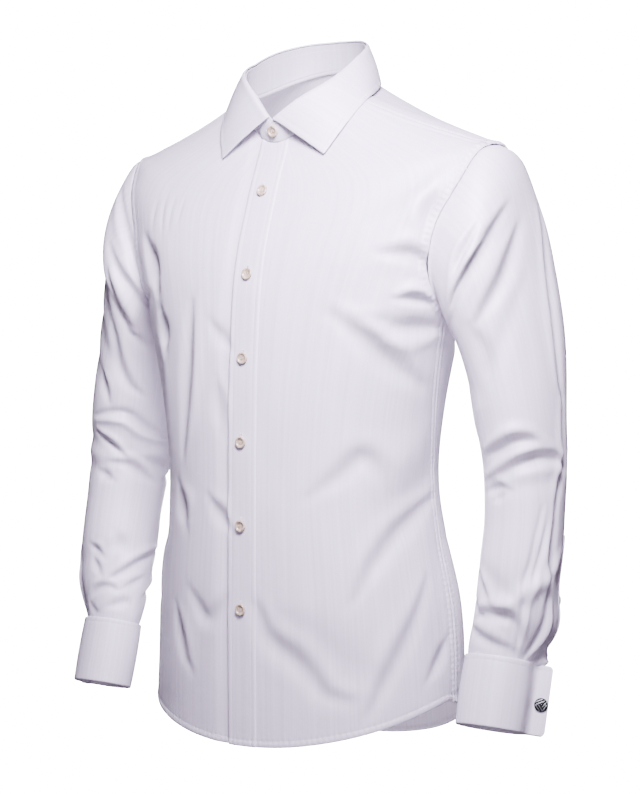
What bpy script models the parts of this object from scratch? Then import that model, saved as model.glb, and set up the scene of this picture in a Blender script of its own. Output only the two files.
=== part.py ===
"""Long sleeve dress shirt, worn form with no wearer, in metres, +Z up.

The front faces -Y and the wearer's left is +X. The origin is the middle of the neck
at the height of the shoulder points of the neckline, where the wearer carries the shirt.
"""
import math

import bmesh
import bpy
import numpy as np
from mathutils import Matrix, Vector

# Cloth and seams
CLOTH = 0.0012
SEAM_GAP = 0.0003
ARMHOLE_GAP = 0.0006
LAID_ON = 0.0003

# Body rings from the hem up to the neckline. Each is an oval with its own front, side and back
# heights, so that the rings climb over the shoulders above the armhole.
RING_COLUMNS = ("level", "front_z", "side_z", "back_z", "half_width",
                "front_y", "side_y", "back_y", "squareness", "front_sweep")
BODY_RINGS = {
    "hem": (0.000, -0.682, -0.636, -0.704, 0.176, -0.119, 0.004, 0.124, 2.15, 1.5),
    "hip": (0.120, -0.552, -0.545, -0.556, 0.170, -0.120, 0.001, 0.117, 2.15, 2.0),
    "waist": (0.300, -0.385, -0.385, -0.385, 0.155, -0.119, -0.003, 0.105, 2.15, 2.0),
    "ribs": (0.395, -0.292, -0.292, -0.288, 0.169, -0.117, -0.006, 0.111, 2.20, 2.0),
    "chest": (0.460, -0.228, -0.226, -0.216, 0.186, -0.112, -0.006, 0.118, 2.25, 2.0),
    "armhole": (0.545, -0.165, -0.138, -0.146, 0.218, -0.101, 0.006, 0.123, 2.20, 2.0),
    "deltoid": (0.600, -0.125, -0.076, -0.098, 0.233, -0.087, 0.020, 0.121, 2.07, 2.0),
    "shoulder": (0.618, -0.112, -0.058, -0.082, 0.228, -0.0823, 0.023, 0.118, 1.97, 2.0),
    "ridge": (0.638, -0.098, -0.051, -0.062, 0.209, -0.077, 0.023, 0.113, 2.00, 2.0),
    "slope": (0.695, -0.076, -0.028, -0.012, 0.146, -0.067, 0.017, 0.096, 2.00, 2.2),
    "neck": (0.765, -0.052, 0.004, 0.034, 0.070, -0.057, 0.004, 0.070, 2.00, 3.0),
}
BACK_SWEEP = 1.4
HEM = BODY_RINGS["hem"][0]
CHEST = BODY_RINGS["chest"][0]
SHOULDER = BODY_RINGS["shoulder"][0]
NECK = BODY_RINGS["neck"][0]
CHEST_HALF_WIDTH = BODY_RINGS["chest"][4]

# Seams on the body, as angles from the centre front in degrees
SEAM_RADIUS = 0.17
SEAM_HALF_ANGLE = math.degrees(SEAM_GAP / SEAM_RADIUS) / 2.0
SIDE_SEAM = {"level": (0.0, 0.12, 0.30, 0.46), "angle": (98.0, 98.0, 98.0, 85.0)}
ARMHOLE_TOP = 80.0
ARMHOLE_FRONT_REACH = 24.0
ARMHOLE_BACK_REACH = 38.0
YOKE_NECK_ANGLE = 66.0
YOKE_BACK_TURN = 240.0
YOKE_BACK_LIFT = 0.052
YOKE_BACK_ROUNDNESS = 2.5
BACK_CLIMB = 1.5
YOKE_CLIMB = 1.2

# Front opening: the right front starts past the centre and is set in under the left one
PLACKET_WIDTH = 0.035
UNDERLAP = 0.0175
UNDERLAP_DEPTH = 0.0022
UNDERLAP_RAMP = (0.021, 0.036)
UNDERLAP_SHARES = (0.0, 0.05, 0.11, 0.17)
UNDERLAP_REST = 0.26
PLACKET_THICKNESS = 0.0010
BAND_SHARES = np.array([-1.0, -0.5, 0.0, 0.5, 1.0])
BAND_TOP_GAP = 0.0025

# Buttons: heights down the centre front
BUTTON_RADIUS = 0.0058
BUTTON_THICKNESS = 0.0026
FRONT_BUTTON_TOP_Z = -0.104
COLLAR_BUTTON_RISE = 0.0125
FRONT_BUTTON_PITCH = 0.087
FRONT_BUTTONS = 6
LEVEL_SAMPLES = 400
# Button section from the middle of its dished top round to its back, as shares of radius and thickness
BUTTON_SECTION = ((0.0, 0.72), (0.62, 0.72), (0.76, 1.0), (0.92, 1.0), (1.0, 0.66), (0.90, 0.0), (0.0, 0.0))

# Collar: the fold line and the leaf's outer edge, by the angle of the fold
COLLAR_COLUMNS = ("angle", "fold_z", "fold_radius", "edge_x", "edge_y", "edge_z")
COLLAR_STATIONS = {
    "front": (3.0, -0.024, 0.0630, 0.061, -0.0680, -0.068),
    "front_quarter": (28.0, 0.006, 0.0655, 0.089, -0.0510, -0.036),
    "front_side": (57.0, 0.028, 0.0660, 0.099, -0.0270, -0.011),
    "side": (90.0, 0.041, 0.0665, 0.098, 0.0050, 0.007),
    "back_side": (123.0, 0.052, 0.0675, 0.084, 0.0470, 0.016),
    "back_quarter": (150.0, 0.063, 0.0690, 0.050, 0.0760, 0.025),
    "back": (180.0, 0.070, 0.0700, 0.000, 0.0870, 0.030),
}
STAND_OVERLAP_ANGLE = 17.5
STAND_THICKNESS = 0.0014
STAND_LAP = 0.0024
STAND_LAP_REACH = 2.2
STAND_GAP = 0.0008
STAND_SET_IN = 0.0008
STAND_ROWS = 4
TAB_DROP = 0.0035
TAB_EASE = (3.0, 4.0)
TAB_ROUND_SHARE = 0.55
TAB_ROUND_DROP = 0.42
TAB_COLUMNS = 3
FOLD_RISE = 0.0030
FOLD_ROLL = 0.0026
LEAF_THICKNESS = 0.0013
LEAF_BULGE = 0.0035
LEAF_BULGE_UP = 0.6
# Inner edge and crest of the leaf's fold, inwards from and down from the fold line
LEAF_INNER_EDGE = (0.0010, 0.0021)
LEAF_CREST = (0.0002, 0.0004)
LEAF_HANG_SHARES = (0.25, 0.5, 0.75, 1.0)

# Sleeve rings from the shoulder to the wrist, by the outer and the under point of each
CAP_LEAD = 0.0022
CAP_LEAD_SHARE = 0.008
WRIST_GAP = 0.0010
SLEEVE_COLUMNS = ("along", "out_x", "out_y", "out_z", "under_x", "under_y", "under_z", "half_depth", "turned")
SLEEVE_RINGS = {
    "crown": (0.07, 0.2450, 0.0200, -0.0800, 0.1905, -0.0110, -0.2380, 0.0690, 0.0),
    "cap": (0.16, 0.2580, 0.0290, -0.1280, 0.1950, -0.0020, -0.2540, 0.0680, 0.0),
    "upper": (0.27, 0.2690, 0.0350, -0.1900, 0.2000, 0.0080, -0.2790, 0.0655, 2.0),
    "biceps": (0.40, 0.2820, 0.0370, -0.2620, 0.2055, 0.0130, -0.3140, 0.0600, 6.0),
    "above_elbow": (0.52, 0.2910, 0.0340, -0.3350, 0.2110, 0.0110, -0.3560, 0.0530, 12.0),
    "elbow": (0.63, 0.2955, 0.0350, -0.3980, 0.2150, 0.0110, -0.3980, 0.0490, 16.0),
    "below_elbow": (0.73, 0.2980, 0.0280, -0.4520, 0.2190, 0.0030, -0.4430, 0.0460, 18.0),
    "forearm": (0.84, 0.2970, 0.0170, -0.5060, 0.2200, -0.0100, -0.4920, 0.0440, 19.0),
    "low": (0.93, 0.2940, 0.0090, -0.5490, 0.2200, -0.0200, -0.5370, 0.0400, 21.0),
}

# Cuff: a flattened oval whose two edges stand side by side in a lip
CUFF_TOP = Vector((0.257, -0.014, -0.584))
CUFF_AXIS = Vector((0.0, -0.285, -0.958)).normalized()
CUFF_LONG = Vector((0.87, 0.50, 0.0))
CUFF_HEIGHT = 0.071
CUFF_OVAL_IN = 0.042
CUFF_OVAL_OUT = 0.026
CUFF_HALF_SHORT = 0.029
CUFF_LIP = 0.046
CUFF_LIP_HALF = 0.0010
CUFF_LAYER = 0.0021
CUFF_CLOTH = 0.0012
CUFF_LIP_LENGTH = 0.0168
LIP_START_ANGLE = 42.0
CUFF_RING_POINTS = 17
CUFF_LAYER_DOWN = (0.0, 0.33, 0.66, 0.98)
CUFF_FOLD_DOWN = 0.995
LINK_INSET = 0.0076
LINK_DOWN = 0.040
LINK_HOLE_SIDES = 12
LINK_HOLE_LENGTH = 0.03

# Sleeve placket
SLIT_TURNS = (180.0, 220.0)
SLIT_START = 0.74
SLIT_END = 0.99
SLIT_BUTTON_TURN = 200.0
SLIT_BUTTON_AT = 0.875
SLEEVE_BUTTON_SCALE = 0.86

# Cufflink, one turned piece: its face and back, as shares of their radius and depth
LINK_FACE_RADIUS = 0.0070
LINK_FACE_DEPTH = 0.0034
LINK_POST_RADIUS = 0.0013
LINK_POST_LENGTH = 0.0086
LINK_BACK_RADIUS = 0.0046
LINK_BACK_DEPTH = 0.0018
LINK_FACE_SECTION = ((0.0, 1.0), (0.55, 0.88), (0.86, 0.62), (1.0, 0.35), (1.0, 0.06), (0.93, 0.0))
LINK_BACK_SECTION = ((0.9, 0.0), (1.0, 0.5), (0.8, 1.0), (0.0, 1.0))

# Largest folds. A body fold runs between two places given by angle and level, a sleeve fold
# between two places given by turn and the share of the length; depth below zero is a trough.
# The fold sizes are the metres in one degree and in one unit of level or length.
BODY_FOLD_SIZES = (0.0026, 1.0)
SLEEVE_FOLD_SIZES = (0.00087, 0.56)
FOLD_END_SHARE = 0.35
NECK_FOLD_FADE = 0.06
SLEEVE_FOLD_FADE = (0.10, 0.05)
FOLD_COLUMNS = ("from_angle", "from_along", "to_angle", "to_along", "half_width", "depth")
BODY_FOLDS = {
    "left_waist_drag": (88.0, 0.285, 58.0, 0.225, 0.026, -0.0050),
    "left_waist_crest": (84.0, 0.330, 52.0, 0.268, 0.024, 0.0030),
    "left_chest_pocket": (72.0, 0.520, 48.0, 0.500, 0.020, -0.0035),
    "left_chest_crest": (66.0, 0.470, 42.0, 0.450, 0.022, 0.0030),
    "lower_front_drag": (12.0, 0.125, 52.0, 0.055, 0.024, -0.0045),
    "right_armhole_pocket": (-58.0, 0.500, -66.0, 0.455, 0.014, -0.0060),
    "right_front_fall": (-52.0, 0.420, -54.0, 0.340, 0.013, -0.0040),
    "right_front_crest": (-44.0, 0.440, -46.0, 0.300, 0.014, 0.0028),
    "right_hip_drag": (-80.0, 0.270, -56.0, 0.200, 0.026, -0.0040),
    "back_left_drag": (112.0, 0.300, 140.0, 0.240, 0.030, -0.0050),
    "back_right_drag": (-112.0, 0.310, -142.0, 0.250, 0.028, -0.0050),
    "back_waist_dip": (168.0, 0.330, -165.0, 0.310, 0.036, -0.0055),
    "back_blade_left": (128.0, 0.560, 148.0, 0.430, 0.026, 0.0040),
    "back_blade_right": (-128.0, 0.560, -150.0, 0.430, 0.026, 0.0036),
}
LEFT_SLEEVE_FOLDS = {
    "cap_drag_front": (158.0, 0.17, 60.0, 0.33, 0.013, -0.0035),
    "cap_drag_low": (148.0, 0.27, 70.0, 0.42, 0.012, -0.0030),
    "elbow_fold_upper": (40.0, 0.600, 160.0, 0.585, 0.010, -0.0050),
    "elbow_crest": (50.0, 0.628, 175.0, 0.612, 0.009, 0.0040),
    "elbow_fold_lower": (30.0, 0.665, 150.0, 0.642, 0.010, -0.0045),
    "forearm_fold": (20.0, 0.835, 110.0, 0.905, 0.010, -0.0030),
    "back_elbow_fold": (200.0, 0.620, 320.0, 0.640, 0.010, -0.0040),
}
RIGHT_SLEEVE_FOLDS = {
    "cap_crease_1": (140.0, 0.13, 52.0, 0.30, 0.010, -0.0040),
    "cap_crease_2": (150.0, 0.25, 40.0, 0.42, 0.010, -0.0045),
    "cap_crease_3": (152.0, 0.36, 55.0, 0.50, 0.011, -0.0040),
    "elbow_fold_upper": (30.0, 0.615, 170.0, 0.575, 0.010, -0.0050),
    "elbow_crest": (35.0, 0.640, 172.0, 0.600, 0.009, 0.0040),
    "elbow_fold_lower": (30.0, 0.675, 150.0, 0.640, 0.010, -0.0045),
    "forearm_fold": (25.0, 0.845, 130.0, 0.895, 0.010, -0.0035),
    "back_elbow_fold": (200.0, 0.620, 320.0, 0.640, 0.010, -0.0040),
}

# Cells of each panel, across and along
EDGE_CELL = 0.012
EDGE_TURN = 2.0
FRONT_COLUMNS_COUNT = 10
BACK_COLUMNS_COUNT = 16
BODY_ROWS = 12
ARMHOLE_STEP = 20.0
YOKE_SEAM_ROWS = 5
YOKE_COLUMNS_COUNT = 22
SLEEVE_ROWS = 24
LEAF_AROUND = 34
CUFF_AROUND = 34
ROUND_STEPS = 16

# How far apart the places are that a surface's slope is read from: degrees, and level or share
SLOPE_TURN = 0.5
SLOPE_LEVEL = 0.002
SLEEVE_SLOPE_TURN = 2.0
SLEEVE_SLOPE_SHARE = 0.01

UP = np.array([0.0, 0.0, 1.0])
SIDES = {"left": 1.0, "right": -1.0}
SLEEVE_FOLDS = {"left": LEFT_SLEEVE_FOLDS, "right": RIGHT_SLEEVE_FOLDS}

CLOTH_COLOUR = (0.86, 0.86, 0.90, 1.0)
BUTTON_COLOUR = (0.82, 0.78, 0.70, 1.0)
LINK_COLOUR = (0.10, 0.10, 0.11, 1.0)


def clear_scene():
    for item in list(bpy.data.objects):
        bpy.data.objects.remove(item, do_unlink=True)


def spline(knots, rows, at):
    """Smooth curve through the rows, each at its knot, read at one or many places."""
    knots = np.asarray(knots, float)
    rows = np.asarray(rows, float)
    at = np.clip(np.asarray(at, float), knots[0], knots[-1])
    steps = np.diff(knots)[:, None]
    secants = np.diff(rows, axis=0) / steps
    slopes = np.vstack([secants[:1], np.zeros((len(rows) - 2, rows.shape[1])), secants[-1:]])
    slopes[1:-1] = (steps[1:] * secants[:-1] + steps[:-1] * secants[1:]) / (steps[1:] + steps[:-1])
    i = np.clip(np.searchsorted(knots, at, side="right") - 1, 0, len(knots) - 2)
    width = (knots[i + 1] - knots[i])[..., None]
    f = (at - knots[i])[..., None] / width
    return ((2 * f**3 - 3 * f**2 + 1) * rows[i] + (f**3 - 2 * f**2 + f) * width * slopes[i]
            + (3 * f**2 - 2 * f**3) * rows[i + 1] + (f**3 - f**2) * width * slopes[i + 1])


def table(rows):
    return np.array(list(rows.values()), float)


def read_table(columns, rows, at):
    """Columns of a table by name, read smoothly at places along its first column."""
    rows = table(rows)
    return dict(zip(columns[1:], np.moveaxis(spline(rows[:, 0], rows[:, 1:], at), -1, 0)))


def oval(sine, cosine, squareness):
    """How far an oval of this squareness stands out from an ellipse, at each angle."""
    return (np.abs(sine) ** squareness + np.abs(cosine) ** squareness) ** (-1.0 / squareness)


def body_point(angle, level):
    """The shirt body's smooth form at an angle from the centre front and a level."""
    angle = np.radians(angle)
    ring = read_table(RING_COLUMNS, BODY_RINGS, level)
    sine, cosine = np.sin(angle), np.cos(angle)
    swell = oval(sine, cosine, ring["squareness"])
    ahead = cosine > 0
    x = ring["half_width"] * sine * swell
    reach = np.where(ahead, ring["front_y"] - ring["side_y"], ring["side_y"] - ring["back_y"])
    y = ring["side_y"] + reach * cosine * swell
    lean = np.abs(cosine) ** np.where(ahead, ring["front_sweep"], BACK_SWEEP)
    z = ring["side_z"] + (np.where(ahead, ring["front_z"], ring["back_z"]) - ring["side_z"]) * lean
    return np.stack([x, y, z], axis=-1)


def unit(vectors):
    return vectors / np.linalg.norm(vectors, axis=-1, keepdims=True)


def body_normal(angle, level):
    """Outward direction of the body's smooth form."""
    low, high = np.maximum(level - SLOPE_LEVEL, HEM), np.minimum(level + SLOPE_LEVEL, NECK)
    across = body_point(angle + SLOPE_TURN, level) - body_point(angle - SLOPE_TURN, level)
    along = body_point(angle, high) - body_point(angle, low)
    return unit(np.cross(across, along))


def fold_relief(folds, angle, along, sizes):
    """Height of the folds at each place; sizes turn an angle and a share into metres."""
    angle, along = np.broadcast_arrays(np.asarray(angle, float), np.asarray(along, float))
    relief = np.zeros(angle.shape)
    for row in folds.values():
        fold = dict(zip(FOLD_COLUMNS, row))
        turn = (fold["to_angle"] - fold["from_angle"] + 180.0) % 360.0 - 180.0
        run = np.array([turn * sizes[0], (fold["to_along"] - fold["from_along"]) * sizes[1]])
        away = (angle - fold["from_angle"] + 180.0) % 360.0 - 180.0
        place = np.stack([away * sizes[0], (along - fold["from_along"]) * sizes[1]], axis=-1)
        share = np.clip(place @ run / (run @ run), 0.0, 1.0)
        distance = np.linalg.norm(place - share[..., None] * run, axis=-1)
        ends = FOLD_END_SHARE + (1.0 - FOLD_END_SHARE) * np.sin(np.pi * share)
        relief = relief + fold["depth"] * ends * np.exp(-(distance / fold["half_width"]) ** 2)
    return relief


def body_cloth(angle, level, lift=0.0):
    """The body's outer cloth surface with its folds, moved out by lift."""
    fade = np.clip((NECK - level) / NECK_FOLD_FADE, 0.0, 1.0)
    height = fold_relief(BODY_FOLDS, angle, level, BODY_FOLD_SIZES) * fade + lift
    return body_point(angle, level) + body_normal(angle, level) * height[..., None]


def side_seam_angle(level):
    return np.interp(level, SIDE_SEAM["level"], SIDE_SEAM["angle"])


def armhole_place(turn, margin=0.0):
    """Angle and level on the armhole: turn 0 under the arm, 90 front, 180 top, 270 back."""
    turn = np.radians(turn)
    rise = (1.0 - np.cos(turn)) / 2.0
    base = SIDE_SEAM["angle"][-1] + (ARMHOLE_TOP - SIDE_SEAM["angle"][-1]) * rise
    reach = np.where(np.sin(turn) > 0, -ARMHOLE_FRONT_REACH, ARMHOLE_BACK_REACH)
    spread = np.degrees(margin / CHEST_HALF_WIDTH)
    angle = base + (reach + np.sign(reach) * spread) * np.abs(np.sin(turn))
    level = CHEST - margin + (SHOULDER - CHEST + 2.0 * margin) * rise
    return angle, level


def width_angle(x, level):
    """Angle from the centre front at which the body is x to the side."""
    return np.degrees(np.arctan(x / read_table(RING_COLUMNS, BODY_RINGS, level)["half_width"]))


def shares(count):
    """Shares of the way across a panel, with a narrow cell along each seam."""
    return np.concatenate([[0.0, EDGE_CELL], np.linspace(0.0, 1.0, count + 1)[1:-1], [1.0 - EDGE_CELL, 1.0]])


def front_edges():
    """Level and side angle of each row of a front, from the hem to the neckline."""
    low = np.linspace(HEM, CHEST - SEAM_GAP, BODY_ROWS)
    turn = np.arange(ARMHOLE_STEP, 180.0 + ARMHOLE_STEP / 2.0, ARMHOLE_STEP)
    arm_angle, arm_level = armhole_place(turn, ARMHOLE_GAP)
    high = np.linspace(SHOULDER + ARMHOLE_GAP, NECK, YOKE_SEAM_ROWS + 1)[1:]
    seam = np.interp(high, (SHOULDER, NECK), (ARMHOLE_TOP, YOKE_NECK_ANGLE))
    arm_angle[-1] -= SEAM_HALF_ANGLE
    level = np.concatenate([low, arm_level, high])
    angle = np.concatenate([side_seam_angle(low) - SEAM_HALF_ANGLE, arm_angle, seam - SEAM_HALF_ANGLE])
    return level, angle


def back_edges():
    """Level and side angle of each row of the back and of the yoke."""
    low = np.linspace(HEM, CHEST - SEAM_GAP, BODY_ROWS)
    to_seam = np.arange(360.0 - ARMHOLE_STEP, YOKE_BACK_TURN - ARMHOLE_STEP / 2.0, -ARMHOLE_STEP)
    to_seam = np.insert(to_seam, -1, YOKE_BACK_TURN + EDGE_TURN)
    back_angle, back_level = armhole_place(to_seam, ARMHOLE_GAP)
    over = np.arange(YOKE_BACK_TURN, 180.0 - ARMHOLE_STEP / 2.0, -ARMHOLE_STEP)
    over = np.insert(over, 1, YOKE_BACK_TURN - EDGE_TURN)
    yoke_angle, yoke_level = armhole_place(over, ARMHOLE_GAP)
    yoke_angle[-1] += SEAM_HALF_ANGLE
    high = np.linspace(SHOULDER + ARMHOLE_GAP, NECK, YOKE_SEAM_ROWS + 1)[1:]
    seam = np.interp(high, (SHOULDER, NECK), (ARMHOLE_TOP, YOKE_NECK_ANGLE)) + SEAM_HALF_ANGLE
    side = side_seam_angle(low) + SEAM_HALF_ANGLE
    back = np.concatenate([low, back_level]), np.concatenate([side, back_angle])
    yoke = np.concatenate([yoke_level, high]), np.concatenate([yoke_angle, seam])
    return back, yoke


def loft(name, points, thickness, colour, closed=False, flip=False, metallic=0.0, roughness=0.6, side=-1.0):
    """Cloth wall through a grid of points, rows by columns, outer face given."""
    if flip:
        points = points[:, ::-1]
    rows, columns = points.shape[:2]
    bm = bmesh.new()
    bmesh.ops.create_grid(bm, x_segments=columns - 1, y_segments=rows - 1, size=0.5)
    order = sorted(bm.verts, key=lambda vert: (round(vert.co.y, 5), round(vert.co.x, 5)))
    for vert, place in zip(order, points.reshape(-1, 3)):
        vert.co = place
    if closed:
        bmesh.ops.remove_doubles(bm, verts=bm.verts, dist=1e-6)
    piece = add_mesh(name, bm, colour, metallic, roughness)
    wall = piece.modifiers.new("Wall", "SOLIDIFY")
    wall.thickness = thickness
    wall.offset = side
    return piece


def add_mesh(name, bm, colour, metallic=0.0, roughness=0.6, collection="long_sleeve_dress_shirt"):
    """Object of a bmesh, smooth shaded, with its own material, in a collection."""
    mesh = bpy.data.meshes.new(name)
    bm.to_mesh(mesh)
    bm.free()
    mesh.shade_smooth()
    piece = bpy.data.objects.new(name, mesh)
    bpy.data.collections[collection].objects.link(piece)
    material = bpy.data.materials.new(name)
    material.use_nodes = True
    shader = material.node_tree.nodes["Principled BSDF"]
    shader.inputs["Base Color"].default_value = colour
    shader.inputs["Metallic"].default_value = metallic
    shader.inputs["Roughness"].default_value = roughness
    mesh.materials.append(material)
    return piece


def make_fronts():
    """The left front with its band laps over the right one, which is set in under it."""
    level, side = front_edges()
    share = shares(FRONT_COLUMNS_COUNT)[2:]
    edge = width_angle(PLACKET_WIDTH / 2.0, level)[:, None]
    left = np.hstack([edge * BAND_SHARES, edge + (side[:, None] - edge) * share])
    levels = np.repeat(level[:, None], left.shape[1], axis=1)
    loft("front_left", body_cloth(left, levels), CLOTH, CLOTH_COLOUR)
    columns = len(BAND_SHARES)
    levels[-1, :columns] -= BAND_TOP_GAP
    band = body_cloth(left[:, :columns], levels[:, :columns], LAID_ON + PLACKET_THICKNESS)
    loft("placket", band, PLACKET_THICKNESS, CLOTH_COLOUR)

    rest = np.linspace(UNDERLAP_REST, 1.0, FRONT_COLUMNS_COUNT - 3)
    edge_share = np.concatenate([UNDERLAP_SHARES, rest[:-1], [1.0 - EDGE_CELL, 1.0]])
    levels = np.repeat(level[:, None], len(edge_share), axis=1)
    start = width_angle(UNDERLAP, level)
    right = start[:, None] - (side + start)[:, None] * edge_share
    across = body_point(right, levels)[..., 0]
    ramp = np.clip((across + UNDERLAP_RAMP[1]) / (UNDERLAP_RAMP[1] - UNDERLAP_RAMP[0]), 0.0, 1.0)
    set_in = -UNDERLAP_DEPTH * ramp * ramp * (3.0 - 2.0 * ramp)
    loft("front_right", body_cloth(right, levels, set_in), CLOTH, CLOTH_COLOUR, flip=True)


def make_back_and_yoke():
    """The back seam of the yoke rises towards the centre back."""
    back, yoke = back_edges()
    share = shares(BACK_COLUMNS_COUNT)
    middle = 1.0 - np.abs(2.0 * share - 1.0) ** YOKE_BACK_ROUNDNESS
    level, side = back
    climb = np.clip((level - CHEST) / (level[-1] - CHEST), 0.0, 1.0) ** BACK_CLIMB
    levels = level[:, None] + YOKE_BACK_LIFT * climb[:, None] * middle
    angles = side[:, None] + (360.0 - 2.0 * side)[:, None] * share
    loft("back", body_cloth(angles, levels), CLOTH, CLOTH_COLOUR)

    share = shares(YOKE_COLUMNS_COUNT)
    middle = 1.0 - np.abs(2.0 * share - 1.0) ** YOKE_BACK_ROUNDNESS
    level, side = yoke
    left = np.clip((NECK - level) / (NECK - level[0]), 0.0, 1.0) ** YOKE_CLIMB
    levels = level[:, None] + (2.0 * SEAM_GAP + YOKE_BACK_LIFT * middle) * left[:, None]
    angles = side[:, None] + (360.0 - 2.0 * side)[:, None] * share
    loft("yoke", body_cloth(angles, levels), CLOTH, CLOTH_COLOUR)


def collar_at(angle):
    """Collar columns after the angle, at any angle, the same on both sides."""
    turned_by = np.abs((np.asarray(angle, float) + 180.0) % 360.0 - 180.0)
    return read_table(COLLAR_COLUMNS, COLLAR_STATIONS, turned_by)


def outward_at(angle):
    """Level direction away from the neck's middle at an angle from the centre front."""
    radial = np.radians(angle)
    return np.stack([np.sin(radial), -np.cos(radial), np.zeros_like(radial)], axis=-1)


def fold_point(angle):
    """Top of the collar's fold line."""
    collar = collar_at(angle)
    return outward_at(angle) * collar["fold_radius"][:, None] + UP * collar["fold_z"][:, None]


def leaf_angles():
    """Angles of the leaf's columns, which the stand's columns share."""
    front = COLLAR_STATIONS["front"][0]
    return np.linspace(front, 360.0 - front, LEAF_AROUND + 1)


def make_stand():
    """Stand round the neck, its left end lapped over its right one at the front."""
    lap = np.linspace(STAND_OVERLAP_ANGLE, -leaf_angles()[0], TAB_COLUMNS + 1)[:-1]
    angle = np.concatenate([-lap, leaf_angles(), 360.0 + lap[::-1]])
    lap_start = 360.0 - STAND_LAP_REACH * STAND_OVERLAP_ANGLE
    lapped = np.clip((angle - lap_start) / STAND_OVERLAP_ANGLE, 0.0, 1.0)
    inward = STAND_LAP * lapped * lapped * (3.0 - 2.0 * lapped)
    outward = outward_at(angle)
    low = body_point(angle, np.full_like(angle, NECK)) + UP * STAND_GAP
    high = fold_point(angle) - outward * STAND_SET_IN - UP * FOLD_RISE
    low = low - outward * inward[:, None]
    high = high - outward * inward[:, None]
    reach = np.minimum(angle, 360.0 - angle) + STAND_OVERLAP_ANGLE
    tab = np.clip((STAND_OVERLAP_ANGLE + TAB_EASE[0] - reach) / TAB_EASE[1], 0.0, 1.0)
    rounding = STAND_OVERLAP_ANGLE * TAB_ROUND_SHARE
    past = np.clip((rounding - reach) / rounding, 0.0, 1.0)
    high = high - UP * TAB_DROP * tab[:, None]
    high = high + (low - high) * (TAB_ROUND_DROP * past**2)[:, None]
    share = np.linspace(0.0, 1.0, STAND_ROWS)[:, None, None]
    loft("collar_stand", low + (high - low) * share, STAND_THICKNESS, CLOTH_COLOUR)


def make_leaf():
    """Leaf turned over the stand at the fold, down to its points and outer edge."""
    angle = leaf_angles()
    collar = collar_at(angle)
    side = np.where(angle > 180.0, -1.0, 1.0)
    edge = np.stack([collar["edge_x"] * side, collar["edge_y"], collar["edge_z"]], axis=-1)
    top = fold_point(angle)
    outward = outward_at(angle)
    over = top + outward * FOLD_ROLL - UP * FOLD_ROLL
    hang = edge - over
    bulge = unit(outward + LEAF_BULGE_UP * UP)
    rows = [top - outward * inwards - UP * down for inwards, down in (LEAF_INNER_EDGE, LEAF_CREST)]
    rows.append(over)
    for share in LEAF_HANG_SHARES:
        rows.append(over + hang * share + bulge * LEAF_BULGE * math.sin(math.pi * share))
    loft("collar_leaf", np.array(rows), LEAF_THICKNESS, CLOTH_COLOUR, flip=True)


def cuff_axes():
    """Unit directions of the cuff's oval: long and short, square to the arm."""
    long_way = (CUFF_LONG - CUFF_LONG.dot(CUFF_AXIS) * CUFF_AXIS).normalized()
    return np.array(long_way), np.array(CUFF_AXIS.cross(long_way))


def sleeve_rings():
    """Share of the length, outer point, under point and front reach of each ring below the armhole."""
    rings = []
    for row in SLEEVE_RINGS.values():
        ring = dict(zip(SLEEVE_COLUMNS, row))
        front = outward_at(ring["turned"]) * ring["half_depth"]
        out = np.array([ring["out_x"], ring["out_y"], ring["out_z"]])
        under = np.array([ring["under_x"], ring["under_y"], ring["under_z"]])
        rings.append((ring["along"], out, under, front))
    long_way, short_way = cuff_axes()
    start = np.array(CUFF_TOP) - np.array(CUFF_AXIS) * WRIST_GAP
    rings.append((1.0, start + long_way * CUFF_OVAL_OUT, start - long_way * CUFF_OVAL_IN,
                  short_way * CUFF_HALF_SHORT))
    return rings


def sleeve_point(turn, along):
    """Left sleeve's smooth form: turn 0 under the arm, 90 front, 180 outside, 270 back."""
    turn = np.asarray(turn, float)
    radial = np.radians(turn)[:, None]
    turn = turn % 360.0
    loops = [body_point(*armhole_place(turn)), body_point(*armhole_place(turn, -CAP_LEAD))]
    knots = [0.0, CAP_LEAD_SHARE]
    rings = sleeve_rings()
    for number, (knot, out, under, front) in enumerate(rings):
        middle = (out + under) / 2.0
        above = rings[max(number - 1, 0)]
        below = rings[min(number + 1, len(rings) - 1)]
        arm = unit((below[1] + below[2] - above[1] - above[2]) / 2.0)
        if number < len(rings) - 1:
            front = front - front.dot(arm) * arm
        loops.append(middle + np.cos(radial) * (under - middle) + np.sin(radial) * front)
        knots.append(knot)
    stack = np.array(loops)
    values = spline(knots, stack.reshape(len(knots), -1), along)
    return values.reshape(np.shape(along) + stack.shape[1:])


def sleeve_grid(turns, along, folds, lift=0.0):
    """Grid of a sleeve's outer cloth, rows along it and columns round it."""
    turns = np.asarray(turns, float)
    along = np.asarray(along, float)
    points = sleeve_point(turns, along)
    ahead = sleeve_point(turns + SLEEVE_SLOPE_TURN, along) - sleeve_point(turns - SLEEVE_SLOPE_TURN, along)
    low, high = np.maximum(along - SLEEVE_SLOPE_SHARE, 0.0), np.minimum(along + SLEEVE_SLOPE_SHARE, 1.0)
    down = sleeve_point(turns, high) - sleeve_point(turns, low)
    normal = unit(np.cross(down, ahead))
    top_fade, wrist_fade = SLEEVE_FOLD_FADE
    ends = np.clip(along / top_fade, 0.0, 1.0) * np.clip((1.0 - along) / wrist_fade, 0.0, 1.0)
    relief = fold_relief(folds, turns[None, :], along[:, None], SLEEVE_FOLD_SIZES)
    height = relief * ends[:, None] + lift
    return points + normal * height[..., None]


def on_side(points, side):
    """Points of a left arm's piece, on the wearer's left or right."""
    return points * np.array([SIDES[side], 1.0, 1.0])


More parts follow.
